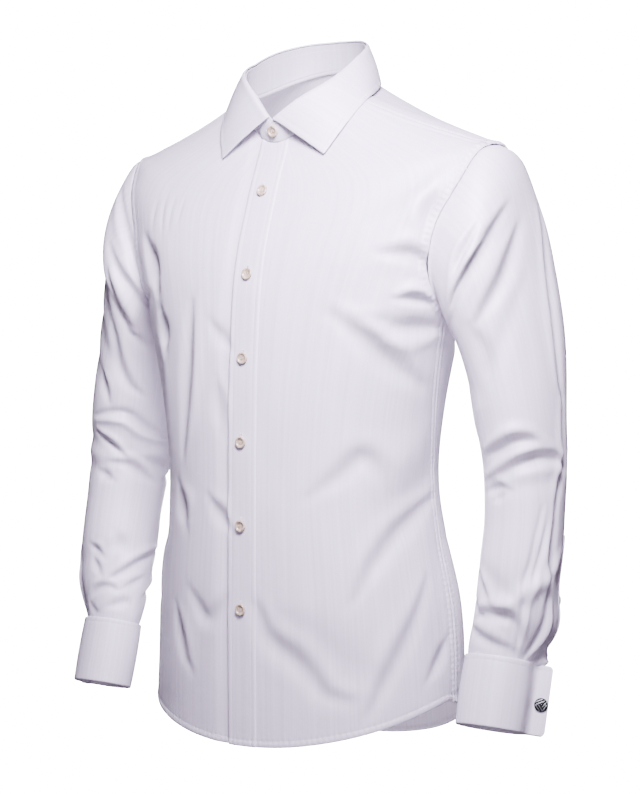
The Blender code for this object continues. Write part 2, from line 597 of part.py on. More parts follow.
def make_sleeves():
    turns = np.arange(0.0, 360.0 + ARMHOLE_STEP / 2.0, ARMHOLE_STEP)
    rows = np.linspace(0.0, 1.0, SLEEVE_ROWS + 1)
    slit_turns = turns[(turns >= SLIT_TURNS[0]) & (turns <= SLIT_TURNS[1])]
    slit_rows = rows[(rows >= SLIT_START) & (rows <= SLIT_END)]
    for side, folds in SLEEVE_FOLDS.items():
        grid = on_side(sleeve_grid(turns, rows, folds), side)
        grid[:, -1] = grid[:, 0]
        band = on_side(sleeve_grid(slit_turns, slit_rows, folds, LAID_ON + PLACKET_THICKNESS), side)
        loft("sleeve_" + side, grid, CLOTH, CLOTH_COLOUR, closed=True, flip=side == "left")
        loft("sleeve_placket_" + side, band, PLACKET_THICKNESS, CLOTH_COLOUR, flip=side == "left")


def cuff_outline(grow):
    """Cuff's section from one lip round the oval to the other lip, as long and short places."""
    half_long = (CUFF_OVAL_IN + CUFF_OVAL_OUT) / 2.0
    middle = (CUFF_OVAL_OUT - CUFF_OVAL_IN) / 2.0
    start = math.radians(LIP_START_ANGLE)
    turn = np.linspace(start, 2.0 * math.pi - start, CUFF_RING_POINTS)
    ring = np.stack([middle + (half_long + grow) * np.cos(turn),
                     (CUFF_HALF_SHORT + grow) * np.sin(turn)], axis=-1)
    lip = CUFF_LIP_HALF + grow
    leave = CUFF_LIP - CUFF_LIP_LENGTH + grow / 2.0
    first = [(CUFF_LIP, lip), ((CUFF_LIP + leave) / 2.0, lip), (leave, lip)]
    last = [(x, -y) for x, y in reversed(first)]
    path = np.vstack([first, ring, last])
    steps = np.concatenate([[0.0], np.cumsum(np.linalg.norm(np.diff(path, axis=0), axis=1))])
    return spline(steps, path, np.linspace(0.0, steps[-1], CUFF_AROUND + 1))


def cuff_grid():
    """Left cuff's middle surface: down the inner layer, round the fold and up the outer one."""
    long_way, short_way = cuff_axes()
    top, axis = np.array(CUFF_TOP), np.array(CUFF_AXIS)
    stations = [(0.0, down) for down in CUFF_LAYER_DOWN]
    stations.append((0.5, CUFF_FOLD_DOWN))
    stations += [(1.0, down) for down in reversed(CUFF_LAYER_DOWN)]
    rows = []
    for out, down in stations:
        outline = cuff_outline(CUFF_LAYER * out)
        place = top + axis * CUFF_HEIGHT * down
        rows.append(place + outline[:, :1] * long_way + outline[:, 1:] * short_way)
    return np.array(rows)


def link_frame():
    """Place of the cufflink through the left cuff's lip, and the way its face looks."""
    long_way, short_way = cuff_axes()
    place = np.array(CUFF_TOP) + np.array(CUFF_AXIS) * LINK_DOWN + long_way * (CUFF_LIP - LINK_INSET)
    facing = short_way if short_way[1] < 0 else -short_way
    return place, facing


def make_cuffs():
    place, facing = link_frame()
    hole_radius = LINK_POST_RADIUS + SEAM_GAP
    for side in SIDES:
        grid = on_side(cuff_grid(), side)
        cuff = loft("cuff_" + side, grid, CUFF_CLOTH, CLOTH_COLOUR, flip=side == "right", side=0.0)
        bm = bmesh.new()
        bmesh.ops.create_cone(bm, cap_ends=True, segments=LINK_HOLE_SIDES, radius1=hole_radius,
                              radius2=hole_radius, depth=LINK_HOLE_LENGTH)
        cutter = add_mesh("link_hole_" + side, bm, CLOTH_COLOUR, collection="cutters")
        cutter.matrix_world = facing_matrix(on_side(place, side), on_side(facing, side))
        cutter.hide_render = True
        cutter.display_type = "WIRE"
        cut = cuff.modifiers.new("Link hole", "BOOLEAN")
        cut.operation = "DIFFERENCE"
        cut.object = cutter


def facing_matrix(place, facing):
    """World matrix that puts a turned piece at a place, its +Z along facing."""
    turn = Vector(facing).to_track_quat("Z", "Y")
    return Matrix.Translation(Vector(place)) @ turn.to_matrix().to_4x4()


def turned(name, profile, place, facing, colour, metallic=0.0, roughness=0.3):
    """Turned piece from its outer profile, radius and height, from top to bottom."""
    bm = bmesh.new()
    verts = [bm.verts.new((radius, 0.0, height)) for radius, height in profile]
    for a, b in zip(verts, verts[1:]):
        bm.edges.new((a, b))
    piece = add_mesh(name, bm, colour, metallic, roughness)
    spin = piece.modifiers.new("Turn", "SCREW")
    spin.axis = "Z"
    spin.angle = 2.0 * math.pi
    spin.steps = ROUND_STEPS
    spin.render_steps = ROUND_STEPS
    spin.use_merge_vertices = True
    spin.merge_threshold = 1e-5
    piece.matrix_world = facing_matrix(place, facing)
    return piece


def button_profile(radius, thickness):
    """Button with a dished middle inside a rounded rim."""
    return [(radius * across, thickness * up) for across, up in BUTTON_SECTION]


def level_of_front_height(height):
    """Level whose centre front is at this height."""
    levels = np.linspace(HEM, NECK, LEVEL_SAMPLES)
    heights = body_point(np.zeros_like(levels), levels)[:, 2]
    return float(np.interp(height, heights, levels))


def make_buttons():
    on_placket = LAID_ON + PLACKET_THICKNESS + LAID_ON
    profile = button_profile(BUTTON_RADIUS, BUTTON_THICKNESS)
    for number in range(FRONT_BUTTONS):
        level = level_of_front_height(FRONT_BUTTON_TOP_Z - FRONT_BUTTON_PITCH * number)
        angle, level = np.zeros(1), np.full(1, level)
        facing = body_normal(angle, level)[0]
        place = body_cloth(angle, level, on_placket)[0]
        turned("button_front_%d" % (number + 1), profile, place, facing, BUTTON_COLOUR)

    low = body_point(np.zeros(1), np.full(1, NECK))[0]
    high = fold_point(np.zeros(1))[0]
    along = unit(high - low)
    facing = unit(np.cross(np.array([1.0, 0.0, 0.0]), along))
    place = low + along * COLLAR_BUTTON_RISE + facing * (LAID_ON * 2.0)
    turned("button_collar", profile, place, facing, BUTTON_COLOUR)

    small = button_profile(BUTTON_RADIUS * SLEEVE_BUTTON_SCALE, BUTTON_THICKNESS * SLEEVE_BUTTON_SCALE)
    spread = SLIT_BUTTON_TURN + SLEEVE_SLOPE_TURN * np.array([-1.0, 0.0, 1.0])
    rows = SLIT_BUTTON_AT + SLEEVE_SLOPE_SHARE * np.array([-1.0, 0.0, 1.0])
    for side, folds in SLEEVE_FOLDS.items():
        patch = sleeve_grid(spread, rows, folds, on_placket)
        facing = unit(np.cross(patch[2, 1] - patch[0, 1], patch[1, 2] - patch[1, 0]))
        place = on_side(patch[1, 1], side)
        turned("button_sleeve_" + side, small, place, on_side(facing, side), BUTTON_COLOUR)


def make_cufflinks():
    place, facing = link_frame()
    half = LINK_POST_LENGTH / 2.0
    profile = [(LINK_FACE_RADIUS * across, half + LINK_FACE_DEPTH * out) for across, out in LINK_FACE_SECTION]
    profile += [(LINK_POST_RADIUS, half), (LINK_POST_RADIUS, -half)]
    profile += [(LINK_BACK_RADIUS * across, -half - LINK_BACK_DEPTH * out) for across, out in LINK_BACK_SECTION]
    for side in SIDES:
        place_here, facing_here = on_side(place, side), on_side(facing, side)
        turned("cufflink_" + side, profile, place_here, facing_here, LINK_COLOUR, 1.0, 0.35)


def main():
    clear_scene()
    for name in ("long_sleeve_dress_shirt", "cutters"):
        collection = bpy.data.collections.new(name)
        bpy.context.scene.collection.children.link(collection)
    make_fronts()
    make_back_and_yoke()
    make_stand()
    make_leaf()
    make_sleeves()
    make_cuffs()
    make_buttons()
    make_cufflinks()


main()
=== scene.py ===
"""Looks of a white long sleeve dress shirt: fine cloth, seams, stitching, buttons and cufflinks.

Every cloth piece lies on the form of its solid, in metres, with the front towards -Y and the
wearer's left towards +X. Cloth places are an angle round the body or a turn round the sleeve,
and a level up the body or a share of the sleeve's length.
"""
import math

import bmesh
import bpy
import numpy as np
from mathutils import Matrix, Vector


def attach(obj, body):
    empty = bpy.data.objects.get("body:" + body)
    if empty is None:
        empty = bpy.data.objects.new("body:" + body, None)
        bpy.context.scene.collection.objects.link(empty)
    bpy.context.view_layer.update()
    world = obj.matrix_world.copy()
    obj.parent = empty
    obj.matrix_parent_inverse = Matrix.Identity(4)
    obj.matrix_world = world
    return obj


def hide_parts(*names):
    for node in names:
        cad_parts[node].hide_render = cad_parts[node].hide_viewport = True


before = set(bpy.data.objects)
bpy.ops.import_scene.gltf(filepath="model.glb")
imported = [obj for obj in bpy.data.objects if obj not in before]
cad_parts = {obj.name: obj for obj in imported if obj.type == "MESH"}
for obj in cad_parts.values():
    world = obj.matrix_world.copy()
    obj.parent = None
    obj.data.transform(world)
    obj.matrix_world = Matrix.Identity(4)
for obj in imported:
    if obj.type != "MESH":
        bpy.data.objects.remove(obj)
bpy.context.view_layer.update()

# Cloth and seams
CLOTH = 0.0012
SEAM_GAP = 0.0003
ARMHOLE_GAP = 0.0006
UNDER_ARMHOLE = 0.0014
LAID_ON = 0.0003

# Body rings from the hem up to the neckline
RING_COLUMNS = ("level", "front_z", "side_z", "back_z", "half_width",
                "front_y", "side_y", "back_y", "squareness", "front_sweep")
BODY_RINGS = {
    "hem": (0.000, -0.682, -0.636, -0.704, 0.176, -0.119, 0.004, 0.124, 2.15, 1.5),
    "hip": (0.120, -0.552, -0.545, -0.556, 0.170, -0.120, 0.001, 0.117, 2.15, 2.0),
    "waist": (0.300, -0.385, -0.385, -0.385, 0.155, -0.119, -0.003, 0.105, 2.15, 2.0),
    "ribs": (0.395, -0.292, -0.292, -0.288, 0.169, -0.117, -0.006, 0.111, 2.20, 2.0),
    "chest": (0.460, -0.228, -0.226, -0.216, 0.186, -0.112, -0.006, 0.118, 2.25, 2.0),
    "armhole": (0.545, -0.165, -0.138, -0.146, 0.218, -0.101, 0.006, 0.123, 2.20, 2.0),
    "deltoid": (0.600, -0.125, -0.076, -0.098, 0.233, -0.087, 0.020, 0.121, 2.07, 2.0),
    "shoulder": (0.618, -0.112, -0.058, -0.082, 0.228, -0.0823, 0.023, 0.118, 1.97, 2.0),
    "ridge": (0.638, -0.098, -0.051, -0.062, 0.209, -0.077, 0.023, 0.113, 2.00, 2.0),
    "slope": (0.695, -0.076, -0.028, -0.012, 0.146, -0.067, 0.017, 0.096, 2.00, 2.2),
    "neck": (0.765, -0.052, 0.004, 0.034, 0.070, -0.057, 0.004, 0.070, 2.00, 3.0),
}
BACK_SWEEP = 1.4
HEM = BODY_RINGS["hem"][0]
CHEST = BODY_RINGS["chest"][0]
SHOULDER = BODY_RINGS["shoulder"][0]
NECK = BODY_RINGS["neck"][0]
CHEST_HALF_WIDTH = BODY_RINGS["chest"][4]

# Seams on the body, as angles from the centre front in degrees
SEAM_HALF_ANGLE = 0.05
SIDE_SEAM = {"level": (0.0, 0.12, 0.30, 0.46), "angle": (98.0, 98.0, 98.0, 85.0)}
ARMHOLE_TOP = 80.0
ARMHOLE_FRONT_REACH = 24.0
ARMHOLE_BACK_REACH = 38.0
YOKE_NECK_ANGLE = 66.0
YOKE_BACK_TURN = 240.0
YOKE_BACK_LIFT = 0.052
YOKE_BACK_ROUNDNESS = 2.5
BACK_CLIMB = 1.5
YOKE_CLIMB = 1.2

# Front opening
BAND_HALF = 0.0175
BAND_THICKNESS = 0.0010
BAND_TOP_GAP = 0.0025
UNDERLAP = 0.0175
UNDERLAP_DEPTH = 0.0022
UNDERLAP_RAMP = (0.021, 0.036)
BAND_STITCH_INSET = 0.0055

# Buttons
BUTTON_RADIUS = 0.0062
BUTTON_THICKNESS = 0.0026
SLEEVE_BUTTON_SCALE = 0.86
FRONT_BUTTON_TOP_Z = -0.104
FRONT_BUTTON_PITCH = 0.087
FRONT_BUTTONS = 6
COLLAR_BUTTON_RISE = 0.0125

# Buttonholes: how far each lies along its own length from its button, how far below it, and its length
BUTTONHOLES = {"front": (0.0012, 0.00025, 0.0150), "collar": (-0.001, 0.0005, 0.0145),
               "sleeve": (0.0, 0.0002, 0.0120)}

# Collar: the fold line and the leaf's outer edge, by the angle of the fold
COLLAR_COLUMNS = ("angle", "fold_z", "fold_radius", "edge_x", "edge_y", "edge_z")
COLLAR_STATIONS = {
    "front": (3.0, -0.024, 0.0640, 0.0645, -0.0630, -0.066),
    "front_quarter": (28.0, 0.0005, 0.0640, 0.0790, -0.0460, -0.037),
    "front_side": (57.0, 0.020, 0.0648, 0.0885, -0.0190, -0.009),
    "side": (90.0, 0.040, 0.0655, 0.0855, 0.0060, 0.0015),
    "back_side": (123.0, 0.057, 0.0665, 0.0700, 0.0435, 0.0145),
    "back_quarter": (150.0, 0.065, 0.0680, 0.0440, 0.0680, 0.023),
    "back": (180.0, 0.0675, 0.0695, 0.000, 0.0782, 0.0275),
}
FOLD_LEAN = 0.0065
STAND_OVERLAP_ANGLE = 17.5
STAND_THICKNESS = 0.0014
STAND_LAP = 0.0024
STAND_LAP_REACH = 2.2
STAND_GAP = 0.0008
STAND_SET_IN = 0.0008
STAND_TUCK = 0.0036
STAND_TUCK_IN = 0.0015
TAB_DROP = 0.0035
TAB_EASE = (3.0, 4.0)
TAB_ROUND_SHARE = 0.55
TAB_ROUND_DROP = 0.42
FOLD_RISE = 0.0030
FOLD_ROLL = 0.0026
LEAF_THICKNESS = 0.0013
LEAF_BULGE = 0.0015
LEAF_BULGE_UP = 0.6
LEAF_INNER_EDGE = (0.0010, 0.0021)
LEAF_CREST = (0.0002, 0.0004)
LEAF_STITCH_INSET = 0.006
LEAF_EDGE_ROW = 12.0
LEAF_STITCH_END = 5.5

# Sleeve rings from the shoulder to the wrist, by the outer and the under point of each
CAP_LEAD = 0.0022
CAP_LEAD_SHARE = 0.008
WRIST_GAP = 0.0010
WRIST_TUCK = 0.006
WRIST_TUCK_IN = 0.0020
SLEEVE_COLUMNS = ("along", "out_x", "out_y", "out_z",
                  "under_x", "under_y", "under_z", "half_depth", "turned")
SLEEVE_RINGS = {
    "crown": (0.07, 0.2450, 0.0200, -0.0800, 0.1905, -0.0110, -0.2380, 0.0690, 0.0),
    "cap": (0.16, 0.2580, 0.0290, -0.1280, 0.1950, -0.0020, -0.2540, 0.0680, 0.0),
    "upper": (0.27, 0.2690, 0.0350, -0.1900, 0.2000, 0.0080, -0.2790, 0.0655, 2.0),
    "biceps": (0.40, 0.2820, 0.0370, -0.2620, 0.2055, 0.0130, -0.3140, 0.0600, 6.0),
    "above_elbow": (0.52, 0.2910, 0.0340, -0.3350, 0.2110, 0.0110, -0.3560, 0.0530, 12.0),
    "elbow": (0.63, 0.2955, 0.0350, -0.3980, 0.2150, 0.0110, -0.3980, 0.0490, 16.0),
    "below_elbow": (0.73, 0.2980, 0.0280, -0.4520, 0.2190, 0.0030, -0.4430, 0.0460, 18.0),
    "forearm": (0.84, 0.2970, 0.0170, -0.5060, 0.2200, -0.0100, -0.4920, 0.0440, 19.0),
    "low": (0.93, 0.2940, 0.0090, -0.5490, 0.2200, -0.0200, -0.5370, 0.0400, 21.0),
}
SLIT_TURNS = (180.0, 220.0)
SLIT_SHARES = (0.74, 0.985)
SLIT_BUTTON_TURN = 200.0
SLIT_BUTTON_AT = 0.875

# Cuff
CUFF_TOP = Vector((0.257, -0.014, -0.584))
CUFF_AXIS = Vector((0.0, -0.285, -0.958)).normalized()
CUFF_LONG = Vector((0.87, 0.50, 0.0))
CUFF_HEIGHT = 0.071
CUFF_OVAL_IN = 0.042
CUFF_OVAL_OUT = 0.026
CUFF_HALF_SHORT = 0.029
CUFF_LIP = 0.046
CUFF_LIP_HALF = 0.0010
CUFF_LAYER = 0.0021
CUFF_LIP_LENGTH = 0.0168
LIP_START_ANGLE = 42.0
CUFF_CORNER = 0.0045
CUFF_COLUMNS = 132
CUFF_PUFF = 0.0008
CUFF_STITCH_INSET = 0.005
LINK_INSET = 0.0076
LINK_DOWN = 0.040
LINK_FACE_RADIUS = 0.0070
LINK_FACE_DEPTH = 0.0034
LINK_POST_RADIUS = 0.0013
LINK_POST_LENGTH = 0.0086
LINK_BACK_RADIUS = 0.0046
LINK_BACK_DEPTH = 0.0018
KNOT_FIELDS = (50.0, 180.0, 285.0)
KNOT_STRANDS = (50.0, 22.0, -57.0)
KNOT_PITCH = 0.34

# Folds: the cloth places that each runs through and, in millimetres, its half width, the height of its
# trough, below zero, or of its crest, and the height of the ridge beside it.
# A ridge above zero lies on the upper side of a fold that runs towards growing angles, and towards growing
# angles beside a fold that runs down. A ridge below zero lies on the other side.
FOLD_END_SHARE = 0.30
FOLD_TAPER_SHARE = 0.6
RIDGE_PLACE = 1.55
FOLD_SAMPLES = 48
FOLD_REACH = 3.2
NECK_FOLD_FADE = 0.06
SLEEVE_FOLD_FADE = (0.03, 0.03)
FOLD_SAME_SIDE = 1.5
# Painted shade in the folds: the cloth's colour is darkened by up to the share below, fully where a trough is
# this deep.
FOLD_FULL_DEPTH = 0.006
PAINTED_FOLD_SHADE = 0.22
SLEEVE_LENGTH = 0.56
CAP_SWELL = 0.0042
DEGREE_ON_BODY = 0.0026
DEGREE_ON_SLEEVE = 0.00087
BODY_FOLDS = {
    "left_waist_drag": (((88, 0.285), (58, 0.225)), 26, -3.5, 0),
    "left_waist_crest": (((84, 0.33), (52, 0.27)), 24, 2.5, 0),
    "left_chest_pocket": (((72, 0.52), (48, 0.5)), 20, -2.5, 0),
    "left_chest_crest": (((66, 0.47), (42, 0.45)), 22, 2.5, 0),
    "lower_front_drag": (((12, 0.125), (52, 0.055)), 24, -3, 0),
    "right_armhole_pocket": (((-58, 0.5), (-66, 0.455)), 14, -4, 0),
    "right_front_fall": (((-52, 0.42), (-54, 0.34)), 13, -3, 0),
    "right_front_crest": (((-44, 0.44), (-46, 0.3)), 14, 2, 0),
    "right_hip_drag": (((-80, 0.27), (-56, 0.2)), 26, -3, 0),
    "left_tail_flare": (((114, -0.03), (112, 0.09), (110, 0.21)), 32, 9, 0),
    "back_left_drag": (((136, 0.3), (158, 0.24)), 30, -4.5, 0),
    "back_right_drag": (((-112, 0.31), (-142, 0.25)), 28, -4.5, 0),
    "back_waist_dip": (((168, 0.33), (195, 0.31)), 36, -5, 0),
    "back_blade_left": (((128, 0.56), (148, 0.43)), 26, 3.5, 0),
    "back_blade_right": (((-128, 0.56), (-150, 0.43)), 26, 3, 0),
    "left_arm_1": (((42, 0.525), (52, 0.52), (59, 0.51), (64, 0.5)), 8, -6, 2),
    "left_arm_2": (((54, 0.47), (61, 0.47), (70, 0.465)), 6.5, -5.5, 4),
    "left_arm_3": (((46, 0.45), (52, 0.445), (58, 0.44), (81, 0.44)), 10.5, -6, -2.5),
    "left_arm_4": (((33, 0.45), (41, 0.435), (49, 0.42), (61, 0.4), (73, 0.385)), 13, -6.5, 3.5),
    "left_waist_peak": (((30, 0.265), (40, 0.285), (50, 0.305), (59, 0.29), (65, 0.255)), 11.5, -4.5, 1),
    "left_waist_long": (((45, 0.15), (53, 0.185), (66, 0.22), (83, 0.245), (92, 0.255)), 11, -5, 2.5),
    "lower_front_long": (((6, 0.135), (11, 0.105), (22, 0.08), (31, 0.05), (38, 0.04)), 12.5, -4.5, 2.5),
    "lower_side_1": (((49, 0.025), (57, 0.06), (68, 0.105), (80, 0.16)), 10.5, -4, 2),
    "lower_side_2": (((77, 0.04), (85, 0.06), (92, 0.085)), 8, -4, 0),
    "right_low_1": (((-38, 0.265), (-32, 0.225)), 10.5, -4.5, 2),
    "right_low_2": (((-16, 0.255), (-10, 0.235), (-6, 0.225)), 8.5, -3.5, 1.5),
    "right_low_3": (((-25, 0.145), (-16, 0.12), (-8, 0.14)), 9.5, -3.5, 0),
    "right_low_4": (((-35, 0.125), (-29, 0.08), (-25, 0.065)), 8.5, -3.5, 1.5),
    "right_fall_1": (((-23, 0.465), (-27, 0.4), (-34, 0.31)), 9.5, -5.5, 2.5),
    "right_fall_2": (((-14, 0.445), (-10, 0.43), (-6, 0.42)), 8, -3.5, 0),
    "right_fall_3": (((-12, 0.385), (-11, 0.335)), 8, -3, 1.5),
    "right_streak_1": (((-38, 0.6), (-41, 0.56)), 3, -1, 0),
    "right_streak_2": (((-35, 0.605), (-35, 0.56)), 3, -1, 0),
    "right_streak_3": (((-31, 0.61), (-32, 0.56)), 3, -1, 0),
    "right_streak_4": (((-27, 0.61), (-28, 0.57)), 3, -1, 0),
    "right_arm_pocket": (((-45, 0.54), (-43, 0.52), (-42, 0.485)), 10, -12, 0),
    "right_side_pocket": (((-42, 0.455), (-42, 0.42)), 9.5, -9, 0),
    "left_chest_slant": (((30, 0.57), (40, 0.59), (52, 0.61), (60, 0.615)), 15.5, -3.5, 0),
    "left_arm_edge": (((55, 0.585), (54, 0.565), (55, 0.545)), 10.5, -5.5, -2),
    "right_arm_1": (((-76, 0.455), (-64, 0.47), (-52, 0.475)), 10.5, -5, 2.5),
    "right_waist_pull": (((-92, 0.26), (-78, 0.25), (-62, 0.22)), 12.5, -5, 2.5),
    "right_waist_pull_2": (((-88, 0.19), (-74, 0.17), (-60, 0.13)), 12.5, -4, 2),
    "back_arm_left_1": (((106, 0.47), (120, 0.48), (136, 0.5)), 11, -5.5, 3),
    "back_arm_left_2": (((104, 0.43), (118, 0.425), (134, 0.435)), 9.5, -4.5, 2),
    "back_arm_right_1": (((-136, 0.505), (-122, 0.485), (-106, 0.475)), 11, -6, 3),
    "back_arm_right_2": (((-138, 0.45), (-122, 0.435), (-104, 0.435)), 9.5, -4, 2),
    "back_fall_left": (((150, 0.56), (155, 0.49), (152, 0.41)), 14.5, -4, 2),
    "back_fall_right": (((-152, 0.555), (-158, 0.48), (-157, 0.4)), 14.5, -3.5, 2),
    "back_waist_left_1": (((128, 0.265), (142, 0.245), (160, 0.205)), 11.5, -6, 3),
    "back_waist_left_2": (((128, 0.33), (140, 0.32), (152, 0.33)), 11.5, -4.5, 2),
    "back_waist_right_1": (((-148, 0.215), (-124, 0.26), (-103, 0.28)), 11.5, -6, 3),
    "back_waist_right_2": (((-146, 0.34), (-126, 0.325), (-106, 0.34)), 11.5, -4, 2),
    "back_waist_middle": (((165, 0.32), (180, 0.305), (197, 0.31)), 13, -5, 2.5),
    "back_tail_1": (((172, 0.215), (168, 0.13), (171, 0.05)), 14.5, -4.5, 2),
    "back_tail_2": (((-150, 0.19), (-155, 0.11), (-153, 0.035)), 13, -4, 2),
    "back_tail_3": (((136, 0.18), (133, 0.11), (136, 0.04)), 13, -3.5, 2),
    "back_tail_4": (((-122, 0.17), (-118, 0.1), (-119, 0.035)), 12, -3, 1.5),
}
LEFT_SLEEVE_FOLDS = {
    "outside_swell": (((200, 0.1), (205, 0.26), (196, 0.42), (190, 0.6)), 30, 7, 0),
    "wrist_swell": (((183, 0.88), (183, 0.93), (183, 0.98)), 15, 6, 0),
    "lip_ridge": (((181, 0.98), (180, 1), (180, 1.02)), 5.5, 26, 0),
    "inside_swell": (((30, 0.38), (20, 0.46), (30, 0.53)), 26, 3.5, 0),
    "cap_drag_front": (((158, 0.17), (60, 0.33)), 13, -2.5, 0),
    "cap_drag_low": (((148, 0.27), (70, 0.42)), 12, -2.5, 0),
    "elbow_fold_upper": (((40, 0.6), (160, 0.585)), 10, -2, 0),
    "elbow_crest": (((50, 0.63), (175, 0.61)), 9, 1.5, 0),
    "elbow_fold_lower": (((30, 0.665), (150, 0.64)), 10, -1.5, 0),
    "forearm_fold": (((20, 0.835), (110, 0.905)), 10, -2, 0),
    "back_elbow_fold": (((200, 0.62), (320, 0.64)), 10, -3.5, 0),
    "elbow_beak": (((52, 0.58), (75, 0.57), (93, 0.56), (112, 0.56), (131, 0.57)), 7.5, -6, 4),
    "elbow_main": (((46, 0.645), (75, 0.625), (97, 0.61), (116, 0.6), (135, 0.595), (169, 0.605)),
                   7.5, -6, 4.5),
    "elbow_small_1": (((36, 0.67), (62, 0.66), (78, 0.665)), 5.5, -4, 1.5),
    "elbow_small_2": (((53, 0.69), (75, 0.675)), 5, -3, 0),
    "outside_upper": (((196, 0.16), (182, 0.3), (174, 0.44), (177, 0.495)), 5.5, -4.5, -2.5),
    "outside_middle": (((177, 0.495), (173, 0.555), (173, 0.6), (158, 0.645), (148, 0.7)), 5, -5, -3),
    "outside_lower": (((150, 0.7), (145, 0.765), (150, 0.845), (145, 0.895)), 4.5, -5, -3),
    "pleat_thin": (((127, 0.695), (119, 0.75), (115, 0.805), (108, 0.855), (107, 0.89), (110, 0.95),
                    (113, 1)), 3, -3, 2.5),
    "pleat_second": (((134, 0.735), (121, 0.825), (112, 0.89), (112, 0.93)), 3.5, -3.5, 1.5),
    "pleat_wedge": (((151, 0.885), (146, 0.94), (138, 0.975), (130, 1)), 4, -4, 4),
    "slant_ridge": (((64, 0.92), (92, 0.9), (119, 0.865), (144, 0.835), (168, 0.78)), 9, 5, 0),
    "low_crescent": (((28, 0.94), (51, 0.93), (71, 0.93), (93, 0.935), (110, 0.96)), 7, -4.5, 2.5),
    "low_crescent_2": (((15, 0.955), (46, 0.97), (69, 0.98), (105, 0.99)), 6.5, -4, 2),
    "inner_crease": (((10, 0.84), (36, 0.88), (56, 0.91)), 5.5, -3.5, 2),
    "inner_crease_2": (((8, 0.905), (45, 0.94)), 4.5, -3, 0),
    "arm_sharp_1": (((115, 0.08), (93, 0.075), (74, 0.08)), 4.5, -5, -3),
    "arm_sharp_2": (((115, 0.125), (92, 0.12), (73, 0.11), (62, 0.11)), 4.5, -5, -3),
    "arm_soft_1": (((147, 0.12), (111, 0.135), (74, 0.14)), 7.5, -4.5, -2),
    "arm_soft_2": (((155, 0.175), (127, 0.235), (92, 0.26)), 8.5, -5, -2.5),
    "arm_soft_3": (((76, 0.255), (85, 0.345), (81, 0.415)), 9.5, -4, 0),
    "back_cap_1": (((215, 0.12), (250, 0.19), (290, 0.215)), 9, -6, 2.5),
    "back_cap_2": (((220, 0.26), (255, 0.33), (288, 0.35)), 9, -5, 2.5),
    "back_elbow_1": (((205, 0.59), (245, 0.57), (300, 0.59)), 7, -6.5, 4),
    "back_elbow_2": (((215, 0.665), (270, 0.64), (330, 0.67)), 7, -6.5, 3.5),
    "back_fore_1": (((300, 0.76), (285, 0.84), (262, 0.905)), 6.5, -5, 2.5),
    "back_pleat": (((246, 0.86), (242, 0.93), (246, 1)), 4, -4, 2.5),
    "back_crescent": (((255, 0.945), (290, 0.925), (330, 0.95)), 6, -5, 2.5),
}
